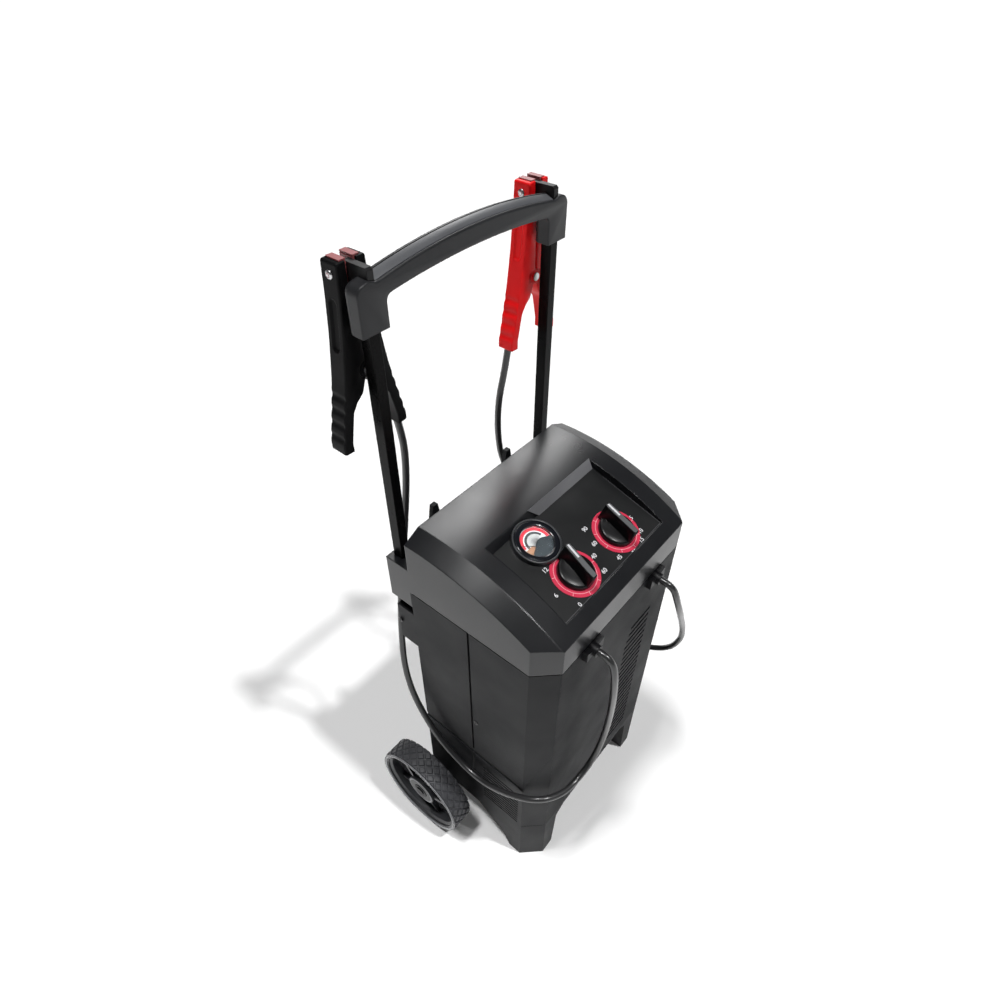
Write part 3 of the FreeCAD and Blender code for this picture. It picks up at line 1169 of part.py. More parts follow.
# small parts outside
def make_relief(x):
    # a round neck between two flared wings, a flange behind the wall
    wings = prism([(x - RELIEF_HALF, 0, RELIEF_Z - RELIEF_H / 2),
                   (x - RELIEF_HALF, 0, RELIEF_Z + RELIEF_H / 2),
                   (x - 4, 0, RELIEF_Z + RELIEF_H / 4), (x + 4, 0, RELIEF_Z + RELIEF_H / 4),
                   (x + RELIEF_HALF, 0, RELIEF_Z + RELIEF_H / 2),
                   (x + RELIEF_HALF, 0, RELIEF_Z - RELIEF_H / 2), (x + 4, 0, RELIEF_Z - RELIEF_H / 4),
                   (x - 4, 0, RELIEF_Z - RELIEF_H / 4)],
                  (0, -RELIEF_D * 0.6, 0))
    neck = rod(RELIEF_CORE_R, (x, -RELIEF_D, RELIEF_Z), (x, FASCIA_T + WALL + 6, RELIEF_Z))
    nut = rod(RELIEF_CORE_R + 3, (x, FASCIA_T + WALL, RELIEF_Z), (x, FASCIA_T + WALL + 4, RELIEF_Z))
    bore = rod(LEAD_HOLE_R, (x, -RELIEF_D + 2 * WALL, RELIEF_Z), (x, FASCIA_T + WALL + 7, RELIEF_Z))
    return fused([wings, neck, nut]).cut(bore)


def make_hook():
    x0, x1 = HOOK_X - HOOK_W / 2, HOOK_X + HOOK_W / 2
    y0, y1 = BODY_D, BODY_D + HOOK_REACH
    plate = box(x0, x1, y0, y0 + HOOK_PLATE_T, HOOK_PLATE_Z0, HOOK_ARM_Z + HOOK_T)
    arm = prism([(x0, y0, HOOK_ARM_Z - 8), (x0, y0, HOOK_ARM_Z + HOOK_T), (x0, y1, HOOK_ARM_Z + HOOK_T),
                 (x0, y1, HOOK_ARM_Z)], (HOOK_W, 0, 0))
    lip = prism([(x0, y1 - HOOK_T - 2, HOOK_ARM_Z), (x1, y1 - HOOK_T - 2, HOOK_ARM_Z), (x1, y1, HOOK_ARM_Z),
                 (x0, y1, HOOK_ARM_Z)],
                (0, 0, HOOK_TOP_Z - HOOK_ARM_Z))
    taper = [prism([(HOOK_X + s * HOOK_W, y0, HOOK_TOP_Z + 1), (HOOK_X + s * (HOOK_W / 2 - 4), y0,
                                                                HOOK_TOP_Z + 1),
                    (HOOK_X + s * HOOK_W / 2, y0, HOOK_ARM_Z + 10),
                    (HOOK_X + s * HOOK_W, y0, HOOK_ARM_Z + 10)], (0, HOOK_REACH + 1, 0)) for s in (-1, 1)]
    rib = prism([(HOOK_X - 1.5, y0, HOOK_ARM_Z - 1), (HOOK_X - 1.5, y0, HOOK_PLATE_Z0 + 2),
                 (HOOK_X - 1.5, y1 - 4, HOOK_ARM_Z + 1)], (3, 0, 0))
    z = (HOOK_PLATE_Z0 + HOOK_ARM_Z) / 2
    hole = rod(SCREW_R + SEAT, (HOOK_X, y0 - 1, z), (HOOK_X, y0 + HOOK_PLATE_T + 1, z))
    access = rod(SCREW_HEAD_R + SEAT, (HOOK_X, y0 + HOOK_PLATE_T, z), (HOOK_X, y1, z))
    shape = fused([plate, arm, lip, rib.cut(access)])
    return shape.cut(taper).cut(hole)


def make_hook_screws():
    z = (HOOK_PLATE_Z0 + HOOK_ARM_Z) / 2
    return [screw((x, BODY_D - WALL - 5, z), (x, BODY_D + HOOK_PLATE_T, z)) for x in (-HOOK_X, HOOK_X)]


def make_gland():
    y0, y1 = BODY_D - WALL, BODY_D + GLAND_HEAD
    body = rod(GLAND_R, (GLAND_X, y0 - GLAND_L / 2, GLAND_Z), (GLAND_X, y1, GLAND_Z))
    flange = rod(GLAND_HEAD_R, (GLAND_X, BODY_D, GLAND_Z), (GLAND_X, BODY_D + 3, GLAND_Z))
    nut = rod(GLAND_HEAD_R - 1, (GLAND_X, y0 - 4, GLAND_Z), (GLAND_X, y0, GLAND_Z))
    bore = rod(GLAND_BORE_R, (GLAND_X, y0 - GLAND_L, GLAND_Z), (GLAND_X, y1 + 1, GLAND_Z))
    return fused([body, flange, nut]).cut(bore)


# pieces inside the case
FLOOR_Z = DECK_Z + WALL
CHASSIS_Z = FLOOR_Z + CHASSIS_T
CORE_Z = CHASSIS_Z + FOOT_T
SINK_Z = SEAM_Z - SINK_BELOW - SINK_H / 2


def make_chassis():
    plate = box(-CHASSIS_W / 2, CHASSIS_W / 2, CHASSIS_Y0, CHASSIS_Y1, FLOOR_Z, CHASSIS_Z)
    rails = [box(s * CORE_W / 2 - 8, s * CORE_W / 2 + 8, CORE_Y - CORE_D / 2, CORE_Y + CORE_D / 2,
                 CHASSIS_Z, CORE_Z) for s in (-0.8, 0.8)]
    holes = [rod(SCREW_R + SEAT, (x, y, FLOOR_Z - 1), (x, y, CHASSIS_Z + 1)) for x, y in chassis_holes()]
    return fused([plate] + rails).cut(holes)


def make_chassis_screws():
    return [screw((x, y, DECK_Z), (x, y, CHASSIS_Z)) for x, y in chassis_holes()]


def make_core():
    # laminated shell core: outer frame and middle limb, two windows for the winding
    y0, y1 = CORE_Y - CORE_D / 2, CORE_Y + CORE_D / 2
    frame = box(-CORE_W / 2, CORE_W / 2, y0, y1, CORE_Z, CORE_Z + CORE_H)
    win_w = (CORE_W - 4 * CORE_LIMB) / 2
    windows = [box(s * (CORE_LIMB + win_w / 2) - win_w / 2, s * (CORE_LIMB + win_w / 2) + win_w / 2, y0 - 1,
                   y1 + 1,
                   CORE_Z + CORE_LIMB, CORE_Z + CORE_H - CORE_LIMB) for s in (-1, 1)]
    return frame.cut(Part.makeCompound(windows))


def make_coil():
    y0, y1 = CORE_Y - CORE_D / 2, CORE_Y + CORE_D / 2
    win_w = (CORE_W - 4 * CORE_LIMB) / 2
    x1 = CORE_LIMB + win_w - COIL_PLAY
    z0, z1 = CORE_Z + CORE_LIMB + COIL_PLAY, CORE_Z + CORE_H - CORE_LIMB - COIL_PLAY
    block = box(-x1, x1, y0 - COIL_OVER, y1 + COIL_OVER, z0, z1)
    limb = box(-CORE_LIMB - SEAT, CORE_LIMB + SEAT, y0 - SEAT, y1 + SEAT, z0 - 1, z1 + 1)
    posts = [e for e in block.Edges if e.BoundBox.ZLength > z1 - z0 - 1]
    return block.makeFillet(COIL_OVER / 2, posts).cut(limb)


def make_sink():
    y1 = BODY_D - WALL
    plate = box(-SINK_W / 2, SINK_W / 2, y1 - SINK_T, y1, SINK_Z - SINK_H / 2, SINK_Z + SINK_H / 2)
    fins = []
    for i in range(SINK_FINS):
        x = -SINK_W / 2 + (i + 0.5) * SINK_W / SINK_FINS
        if abs(x) < SINK_W:
            fins.append(box(x - 1, x + 1, y1 - SINK_T - SINK_FIN_D, y1 - SINK_T + 1, SINK_Z,
                            SINK_Z + SINK_H / 2))
    shape = fused([plate] + fins)
    holes = [rod(SCREW_R + SEAT, (x * SINK_W / 3, y1 - SINK_T - SINK_FIN_D - 1, z),
                 (x * SINK_W / 3, y1 + 1, z))
             for x in (-1, 1) for z in (SINK_Z - SINK_H / 4, SINK_Z + SINK_H / 4)]
    return shape.cut(holes)


def make_sink_screws():
    y = BODY_D - WALL - SINK_T
    heights = (SINK_Z - SINK_H / 4, SINK_Z + SINK_H / 4)
    return [screw((x * SINK_W / 3, BODY_D, z), (x * SINK_W / 3, y, z)) for x in (-1, 1) for z in heights]


def make_diodes():
    y = BODY_D - WALL - SINK_T
    z = SINK_Z - SINK_H / 4
    out = []
    for i in (-0.5, 0.5):
        x = i * DIODE_PITCH
        can = rod(DIODE_R, (x, y - DIODE_H, z), (x, y, z))
        lead = rod(1.2, (x, y - DIODE_H - 10, z), (x, y - DIODE_H + 1, z))
        out.append(can.fuse(lead))
    return Part.makeCompound(out)


def make_breaker():
    x0 = CHASSIS_W / 2 - BREAKER_W - BREAKER_SIDE
    y0 = CHASSIS_Y0 + BREAKER_FRONT
    body = box(x0, x0 + BREAKER_W, y0, y0 + BREAKER_D, CHASSIS_Z, CHASSIS_Z + BREAKER_H)
    studs = [rod(2.5, (x0 + BREAKER_W * f, y0 + BREAKER_D / 2, CHASSIS_Z + BREAKER_H - 1),
                 (x0 + BREAKER_W * f, y0 + BREAKER_D / 2, CHASSIS_Z + BREAKER_H + 8)) for f in (0.25, 0.75)]
    return fused([body] + studs)


def make_terminals():
    x0 = -CHASSIS_W / 2 + TERMINAL_SIDE
    y0 = CHASSIS_Y0 + TERMINAL_FRONT
    body = box(x0, x0 + TERMINAL_D, y0, y0 + TERMINAL_W, CHASSIS_Z, CHASSIS_Z + TERMINAL_H)
    wells = [rod(3.0, (x0 + TERMINAL_D / 2, y0 + TERMINAL_W * (i + 0.5) / 4, CHASSIS_Z + TERMINAL_H / 2),
                 (x0 + TERMINAL_D / 2, y0 + TERMINAL_W * (i + 0.5) / 4,
                  CHASSIS_Z + TERMINAL_H + 1)) for i in range(4)]
    return body.cut(wells)


# the leads
def lead(points):
    points = [Vector(*p) for p in points]
    n = len(points)
    edges, here, radii = [], points[0], []
    for i in range(1, n - 1):
        a, b, c = points[i - 1], points[i], points[i + 1]
        u, w = (b - a), (c - b)
        lu, lw = u.Length, w.Length
        u, w = u * (1 / lu), w * (1 / lw)
        turn = math.acos(max(-1.0, min(1.0, u.dot(w))))
        back = 0.45 * min(lu, lw)
        radii.append(round(back / math.tan(turn / 2), 1))
        p, q = b - u * back, b + w * back
        mid = (u * -1 + w)
        mid = mid * (1 / mid.Length)
        r = back / math.tan(turn / 2)
        m = b + mid * (r / math.cos(turn / 2) - r)
        edges.append(Part.LineSegment(here, p).toShape())
        edges.append(Part.Arc(p, m, q).toShape())
        here = q
    edges.append(Part.LineSegment(here, points[-1]).toShape())
    path = Part.Wire(edges)
    section = Part.Wire(Part.makeCircle(LEAD_R, points[0], points[1] - points[0]))
    tube = path.makePipeShell([section], True, False)
    print("lead radii", radii)
    print("lead length", round(path.Length, 1), "volume ratio",
          round(tube.Volume / (path.Length * math.pi * LEAD_R ** 2), 5))
    return tube


def lead_end(side, s):
    # s below the mouth of the clamp's bore, on its axis
    x = REST_X - CLAMP_END_X + CLAMP_HANDLE_T / 2
    tilt = math.radians(LEAD_TILT)
    return side * (x - s * math.sin(tilt)), CLAMP_Y, CLAMP_PIVOT_Z + CLAMP_END - s * math.cos(tilt)


LEAD_BLACK = [
    (-RELIEF_X, -RELIEF_D, RELIEF_Z), (-RELIEF_X, -19.5, RELIEF_Z), (-75.8, -27.5, 538),
              (-75.5, -33.5, 531), (-75, -37, 519.5),
    (-74, -39, 502), (-70.5, -39.5, 474), (-63, -38, 432), (-53, -34, 374), (-50, -30, 311),
              (-62, -26, 257), (-93, -22, 236),
    (-130, -18, 239), (-163, 1, 247), (-177, 42, 230), (-180, 90, 206), (-180, 138, 207), (-182, 190, 240),
              (-181, 232, 300),
    (-173, 257, 352), (-160, 270, 410), (-145, 276, 490), (-128, 279, 560), (-109, 285, 625),
              (-98, 286, 690),
    lead_end(-1, 32), lead_end(-1, -LEAD_IN)]
LEAD_RED = [
    (RELIEF_X, -RELIEF_D, RELIEF_Z), (RELIEF_X, -19.5, RELIEF_Z), (76.5, -27.5, 538), (78, -33.5, 531),
            (81, -37, 518.5),
    (88, -39.5, 499), (102, -40.5, 470), (125, -37, 432), (150, -34, 390), (173, -32, 345), (187, -30, 302),
            (190, -15, 258),
    (184, 18, 236), (178, 62, 222), (180, 105, 204), (181, 152, 214), (182, 198, 250), (179, 232, 300),
            (172, 258, 352),
    (158, 270, 410), (143, 276, 470), (118, 283, 530), (92, 286, 590), (83, 286, 645), (84, 285, 700),
    lead_end(1, 32), lead_end(1, -LEAD_IN)]


# all pieces in order
put("base", make_base())
put("front_housing", make_front_housing())
put("front_fascia", make_fascia())
put("rear_housing", make_rear_housing())
put("hood", make_hood())
put("control_panel", make_control_panel())
put("panel_strip", make_panel_strip())
put("selector_dial_ring", make_dial_ring(SELECTOR_U, SELECTOR_V))
put("timer_dial_ring", make_dial_ring(TIMER_U, TIMER_V))
put("selector_knob", make_knob(SELECTOR_U, SELECTOR_V, SELECTOR_POINT, PLATE_T + SWITCH_H * 0.6 - 1))
put("timer_knob", make_knob(TIMER_U, TIMER_V, TIMER_POINT, PLATE_T + TIMER_H * 0.6 - 1))
put("selector_switch", make_switch(SELECTOR_U, SELECTOR_V, SWITCH_W, SWITCH_H))
put("timer_mechanism", make_switch(TIMER_U, TIMER_V, TIMER_W, TIMER_H))
put("meter_body", make_meter_body())
put("meter_dial", make_meter_dial())
put("meter_mask", make_meter_mask())
put("meter_needle", make_meter_needle())
put("meter_bezel", make_meter_bezel())
put("meter_lens", make_meter_lens())
put("handle_post_right", make_post())
put("handle_post_left", mirrored(make_post()))
put("handle_grip", make_grip())
put("clamp_rest_right", make_rest())
put("clamp_rest_left", mirrored(make_rest()))
put("handle_screws", make_handle_screws())
put("housing_screws", make_housing_screws())
put("inner_screws", Part.makeCompound(make_chassis_screws() + make_sink_screws() + make_hook_screws()),
    False)
put("axle", make_axle())
wheel, tyre = make_wheel(), make_tyre()
put("wheel_right", wheel)
put("wheel_left", mirrored(wheel))
put("tyre_right", tyre)
put("tyre_left", mirrored(tyre))
put("axle_caps", make_caps())
put("wheel_spacers", make_spacers())
put("strain_relief_right", make_relief(RELIEF_X))
put("strain_relief_left", make_relief(-RELIEF_X))
put("cord_hook_right", make_hook())
put("cord_hook_left", mirrored(make_hook()))
put("mains_gland", make_gland())
put("chassis_plate", make_chassis())
put("transformer_core", make_core())
put("transformer_coil", make_coil())
put("rectifier_plate", make_sink())
put("rectifier_diodes", make_diodes())
put("circuit_breaker", make_breaker())
put("terminal_block", make_terminals())
spring = make_spring()
for name, x in (("black", -REST_X), ("red", REST_X)):
    # the half towards the middle of the handle carries the lead and stays still
    inner = make_clamp_half(True, True)
    outer = make_clamp_half(False, True)
    jaw = make_jaw()
    if x < 0:
        pair = {"fixed": inner, "moving": mirrored(outer), "fixed_jaw": jaw, "moving_jaw": mirrored(jaw)}
    else:
        pair = {"fixed": mirrored(inner), "moving": outer, "fixed_jaw": mirrored(jaw), "moving_jaw": jaw}
    for key, shape in pair.items():
        put("%s_clamp_%s" % (name, key), clamp_at(shape, x))
    put("%s_clamp_pin" % name, clamp_at(make_pin(), x))
    put("%s_clamp_spring" % name, clamp_at(spring, x), False)
put("lead_black", lead(LEAD_BLACK), False)
put("lead_red", lead(LEAD_RED), False)
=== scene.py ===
import bpy, bmesh, json, math
import numpy as np
from mathutils import Matrix, Vector


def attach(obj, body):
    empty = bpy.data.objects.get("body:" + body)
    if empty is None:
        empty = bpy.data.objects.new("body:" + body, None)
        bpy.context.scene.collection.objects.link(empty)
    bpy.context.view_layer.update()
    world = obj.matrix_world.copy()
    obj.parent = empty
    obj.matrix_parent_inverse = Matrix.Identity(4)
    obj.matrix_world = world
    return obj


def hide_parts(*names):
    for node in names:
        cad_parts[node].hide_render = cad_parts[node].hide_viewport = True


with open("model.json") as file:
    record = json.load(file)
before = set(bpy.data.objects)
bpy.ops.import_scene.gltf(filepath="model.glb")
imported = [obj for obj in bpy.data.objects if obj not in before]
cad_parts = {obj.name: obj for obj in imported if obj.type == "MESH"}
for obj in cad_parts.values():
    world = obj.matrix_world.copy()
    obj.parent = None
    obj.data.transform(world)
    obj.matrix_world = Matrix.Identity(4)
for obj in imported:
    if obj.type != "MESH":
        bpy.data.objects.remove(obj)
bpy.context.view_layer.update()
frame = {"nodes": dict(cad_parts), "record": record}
cadNodes = frame["nodes"]
mm = 0.001
frontY = -145.5  # y of the case's front face, mm
print("frame loaded:", len(cadNodes), "nodes")

# the camera stands at the photograph's angle: place in metres, angles in degrees, lens and sensor in mm
cameraSpec = {"place": (-0.5287, -0.3757, 1.2488), "azimuth": -50.11, "elevation": 42.81, "roll": 0.04,
              "lens": 24.33, "sensor": 36.0, "farthest": 100.0}


def makeCamera(spec):
    # columns are right, up and back, worked out from azimuth and elevation
    az, el, roll = (math.radians(spec[k]) for k in ("azimuth", "elevation", "roll"))
    back = Vector((math.sin(az) * math.cos(el), -math.cos(az) * math.cos(el), math.sin(el)))
    right = Vector((math.cos(az), math.sin(az), 0))
    up = back.cross(right)
    c, s = math.cos(roll), math.sin(roll)
    right, up = right * c + up * s, up * c - right * s
    data = bpy.data.cameras.new("photoCamera")
    data.lens, data.sensor_width, data.clip_end = spec["lens"], spec["sensor"], spec["farthest"]
    cam = bpy.data.objects.new("photoCamera", data)
    bpy.context.scene.collection.objects.link(cam)
    rows = [(right[k], up[k], back[k], spec["place"][k]) for k in range(3)]
    cam.matrix_world = Matrix((*rows, (0, 0, 0, 1)))
    bpy.context.scene.camera = cam


makeCamera(cameraSpec)

# what every finish has unless it says otherwise: drift is the broad change of tone, grain the fine relief,
# ease the radius in mm that edges are shaded with
plainFinish = {"driftScale": 14.0, "driftDetail": 4.0, "drift": 0.12, "driftRange": (0.3, 0.7),
               "roughDrift": 0.05, "grainScale": 1400.0, "grainDetail": 2.0, "grain": 0.25, "grainDeep": 0.0002,
               "ease": 0.0, "easeSamples": 4, "metal": 0.0, "specular": 0.5, "coat": 0.0, "coatRough": 0.08}


def plainShader(name):
    mat = bpy.data.materials.new(name)
    mat.use_nodes = True
    tree = mat.node_tree
    return mat, tree, tree.nodes["Principled BSDF"]


def wire(tree, a, out, b, into):
    tree.links.new(a.outputs[out], b.inputs[into])


def fill(node, values):
    for name, value in values.items():
        node.inputs[name].default_value = value


def noise(tree, spot, scale, detail):
    node = tree.nodes.new("ShaderNodeTexNoise")
    fill(node, {"Scale": scale, "Detail": detail})
    wire(tree, spot, "Object", node, "Vector")
    return node


def grainFinish(name, given):
    # a broad noise drifts colour and roughness, a fine one lifts the surface, a small radius eases the edges
    spec = {**plainFinish, **given}
    mat, tree, shader = plainShader(name)
    spot = tree.nodes.new("ShaderNodeTexCoord")
    broad = noise(tree, spot, spec["driftScale"], spec["driftDetail"])
    tint = tree.nodes.new("ShaderNodeMix")
    tint.data_type = "RGBA"
    dark = [c * (1 - spec["drift"]) for c in spec["colour"]]
    light = [min(1.0, c * (1 + spec["drift"])) for c in spec["colour"]]
    fill(tint, {6: (*dark, 1), 7: (*light, 1)})
    wire(tree, broad, "Fac", tint, 0)
    wire(tree, tint, 2, shader, "Base Color")
    rough = tree.nodes.new("ShaderNodeMapRange")
    fill(rough, {"From Min": spec["driftRange"][0], "From Max": spec["driftRange"][1],
                 "To Min": spec["rough"] - spec["roughDrift"], "To Max": spec["rough"] + spec["roughDrift"]})
    wire(tree, broad, "Fac", rough, "Value")
    wire(tree, rough, "Result", shader, "Roughness")
    fine = noise(tree, spot, spec["grainScale"], spec["grainDetail"])
    bump = tree.nodes.new("ShaderNodeBump")
    fill(bump, {"Strength": spec["grain"], "Distance": spec["grainDeep"]})
    wire(tree, fine, "Fac", bump, "Height")
    if spec["ease"] > 0:
        ease = tree.nodes.new("ShaderNodeBevel")
        ease.samples = spec["easeSamples"]
        fill(ease, {"Radius": spec["ease"] * mm})
        wire(tree, ease, "Normal", bump, "Normal")
    wire(tree, bump, "Normal", shader, "Normal")
    fill(shader, {"Metallic": spec["metal"], "Specular IOR Level": spec["specular"]})
    if spec["coat"] > 0:
        fill(shader, {"Coat Weight": spec["coat"], "Coat Roughness": spec["coatRough"]})
    return mat


finishes = {
    "case_plastic": {"colour": (0.0066, 0.007, 0.0084), "rough": 0.5, "ease": 1.2, "grain": 0.22,
                     "grainScale": 1700.0, "specular": 0.16},
    "hood_plastic": {"colour": (0.0085, 0.009, 0.0106), "rough": 0.3, "ease": 2.2, "grain": 0.16,
                     "grainScale": 1900.0, "roughDrift": 0.03, "specular": 0.46},
    "panel_plastic": {"colour": (0.0085, 0.009, 0.0095), "rough": 0.34, "ease": 0.6, "grain": 0.1,
                      "specular": 0.42},
    "strip_plastic": {"colour": (0.17, 0.172, 0.182), "rough": 0.42, "ease": 0.3, "grain": 0.1},
    "ring_red": {"colour": (0.60, 0.025, 0.07), "rough": 0.4, "ease": 0.2, "grain": 0.08, "drift": 0.06,
                 "specular": 0.4},
    "knob_plastic": {"colour": (0.003, 0.003, 0.0035), "rough": 0.3, "ease": 0.8, "grain": 0.06,
                     "specular": 0.3},
    "bezel_plastic": {"colour": (0.006, 0.007, 0.010), "rough": 0.16, "ease": 0.4, "grain": 0.03,
                      "specular": 0.6},
    "dial_white": {"colour": (0.62, 0.62, 0.60), "rough": 0.5, "grain": 0.03, "drift": 0.03, "specular": 0.2},
    "needle_dark": {"colour": (0.03, 0.03, 0.03), "rough": 0.4, "grain": 0.05},
    "mask_grey": {"colour": (0.028, 0.034, 0.038), "rough": 0.3, "grain": 0.05},
    "post_metal": {"colour": (0.002, 0.002, 0.0022), "rough": 0.28, "ease": 1.5, "grain": 0.04,
                   "grainScale": 700.0, "specular": 0.06},
    "grip_plastic": {"colour": (0.019, 0.0195, 0.0215), "rough": 0.4, "ease": 1.0, "grain": 0.14,
                     "specular": 0.3},
    "steel": {"colour": (0.60, 0.60, 0.61), "rough": 0.28, "metal": 1.0, "ease": 0.3, "grain": 0.1,
              "grainScale": 600.0},
    "dark_steel": {"colour": (0.012, 0.012, 0.013), "rough": 0.35, "metal": 0.3, "ease": 0.3, "grain": 0.1},
    "rubber": {"colour": (0.005, 0.005, 0.006), "rough": 0.45, "ease": 0.6, "grain": 0.2, "specular": 0.25},
    "lead_rubber": {"colour": (0.025, 0.025, 0.026), "rough": 0.32, "grain": 0.08, "grainScale": 900.0,
                    "coat": 0.4, "coatRough": 0.18},
    "tyre_rubber": {"colour": (0.048, 0.049, 0.054), "rough": 0.5, "grain": 0.3, "grainScale": 1100.0,
                    "specular": 0.35},
    "wheel_plastic": {"colour": (0.042, 0.043, 0.047), "rough": 0.3, "ease": 0.7, "grain": 0.1},
    "clamp_black": {"colour": (0.005, 0.005, 0.0055), "rough": 0.42, "ease": 1.0, "grain": 0.2,
                    "specular": 0.07},
    "clamp_red": {"colour": (0.84, 0.007, 0.009), "rough": 0.42, "ease": 1.0, "grain": 0.16, "drift": 0.05,
                  "specular": 0.14},
    "copper": {"colour": (0.34, 0.085, 0.09), "rough": 0.35, "grain": 0.1},
    "dial_brown": {"colour": (0.30, 0.15, 0.08), "rough": 0.4, "grain": 0.1},
    "core_steel": {"colour": (0.10, 0.10, 0.11), "rough": 0.5, "metal": 0.6, "grain": 0.2},
    "winding": {"colour": (0.50, 0.20, 0.08), "rough": 0.35, "metal": 0.7, "grain": 0.4, "grainScale": 500.0},
    "aluminium": {"colour": (0.75, 0.76, 0.77), "rough": 0.35, "metal": 1.0, "grain": 0.1},
    "inner_plastic": {"colour": (0.03, 0.03, 0.03), "rough": 0.5, "grain": 0.15},
    "print_white": {"colour": (0.66, 0.66, 0.68), "rough": 0.45, "grain": 0.03, "drift": 0.02,
                    "specular": 0.3},
    "print_pink": {"colour": (0.80, 0.33, 0.38), "rough": 0.4, "grain": 0.03, "drift": 0.02, "specular": 0.3},
    "print_red": {"colour": (0.50, 0.02, 0.035), "rough": 0.45, "grain": 0.03, "drift": 0.03,
                  "specular": 0.3},
    "print_line": {"colour": (0.055, 0.055, 0.06), "rough": 0.4, "grain": 0.03, "drift": 0.02},
    "fascia_plastic": {"colour": (0.0052, 0.0055, 0.0068), "rough": 0.5, "ease": 0.8, "grain": 0.2,
                       "grainScale": 1700.0, "specular": 0.07},
    "bezel_grey": {"colour": (0.022, 0.024, 0.027), "rough": 0.35, "ease": 0.3, "grain": 0.06},
    # lighter grey of the grip's inlaid strip: a painted highlight of the grip's top
    "inlay_painted_sheen": {"colour": (0.08, 0.083, 0.09), "rough": 0.36, "ease": 0.4, "grain": 0.06,
                   "specular": 0.26},
    # light grey of the beads on rim lip, hub and axle cap: painted highlights
    "bead_painted_highlight": {"colour": (0.30, 0.305, 0.32), "rough": 0.3, "grain": 0.05, "drift": 0.05},
    "rest_plastic": {"colour": (0.010, 0.010, 0.011), "rough": 0.42, "ease": 1.2, "grain": 0.15,
                     "specular": 0.2},
    # light grey of the knob's top plate: a painted highlight of the bar's top face
    "knob_top_painted_sheen": {"colour": (0.10, 0.104, 0.108), "rough": 0.35, "grain": 0.08},
}

lensSpec = {"colour": (0.9, 0.93, 0.95, 1), "rough": 0.03, "bends": 1.3}


def lensFinish(spec):
    # clear moulded lens: glass that lets the light's shadow rays through
    mat, tree, shader = plainShader("lens_clear")
    fill(shader, {"Base Color": spec["colour"], "Roughness": spec["rough"], "IOR": spec["bends"]})
    fill(shader, {"Transmission Weight": 1.0})
    clear = tree.nodes.new("ShaderNodeBsdfTransparent")
    path = tree.nodes.new("ShaderNodeLightPath")
    mix = tree.nodes.new("ShaderNodeMixShader")
    wire(tree, path, "Is Shadow Ray", mix, 0)
    wire(tree, shader, 0, mix, 1)
    wire(tree, clear, 0, mix, 2)
    wire(tree, mix, 0, tree.nodes["Material Output"], "Surface")
    return mat


paint = {name: grainFinish(name, spec) for name, spec in finishes.items()}
paint["lens_clear"] = lensFinish(lensSpec)
slotOf = {s["node"]: s["material_slot"] for s in frame["record"]["subparts"]}
# nodes that look different from the rest of their slot
finishOf = {"front_fascia": "fascia_plastic", "clamp_rest_left": "rest_plastic",
            "clamp_rest_right": "rest_plastic",
            "housing_screws": "needle_dark", "handle_screws": "dark_steel"}
for nodeName, obj in cadNodes.items():
    obj.data.materials.clear()
    obj.data.materials.append(paint[finishOf.get(nodeName, slotOf[nodeName])])
print("finishes made:", len(paint))

# the two leads, each one open spline along the route of its solid: x, y behind the front face, z
clampAt = {"x": 145.0, "y": 285.0, "pivotZ": 866.0}
leadSpec = {"radius": 4.8, "steps": 10, "round": 6, "order": 3,
            "length": {"black": 1.1874, "red": 1.1273}, "side": {"black": "left", "red": "right"},
            # the bore in a clamp's handle: its tilt, and its mouth's place
            "tilt": math.radians(12.0), "handleX": 47.0, "mouthIn": 6.5, "mouthZ": 775.0}


def leadEnd(side, below):
    # a point on the axis of the bore in a clamp's handle, that far below its mouth
    spec = leadSpec
    x = clampAt["x"] - spec["handleX"] + spec["mouthIn"] - below * math.sin(spec["tilt"])
    return side * x, clampAt["y"], spec["mouthZ"] - below * math.cos(spec["tilt"])


leadRoutes = {
    "black": [(-76, -12, 540.5), (-76, -19.5, 540.5), (-75.8, -27.5, 538), (-75.5, -33.5, 531),
              (-75, -37, 519.5),
              (-74, -39, 502), (-70.5, -39.5, 474), (-63, -38, 432), (-53, -34, 374), (-50, -30, 311),
              (-62, -26, 257), (-93, -22, 236), (-130, -18, 239), (-163, 1, 247), (-177, 42, 230),
              (-180, 90, 206), (-180, 138, 207), (-182, 190, 240), (-181, 232, 300), (-173, 257, 352),
              (-160, 270, 410), (-145, 276, 490), (-128, 279, 560), (-109, 285, 625), (-98, 286, 690),
              leadEnd(-1, 32), leadEnd(-1, -5)],
    "red": [(76, -12, 540.5), (76, -19.5, 540.5), (76.5, -27.5, 538), (78, -33.5, 531), (81, -37, 518.5),
            (88, -39.5, 499), (102, -40.5, 470), (125, -37, 432), (150, -34, 390), (173, -32, 345),
            (187, -30, 302), (190, -15, 258), (184, 18, 236), (178, 62, 222), (180, 105, 204),
            (181, 152, 214), (182, 198, 250), (179, 232, 300), (172, 258, 352), (158, 270, 410),
            (143, 276, 470), (118, 283, 530), (92, 286, 590), (83, 286, 645), (84, 285, 700),
            leadEnd(1, 32), leadEnd(1, -5)],
}


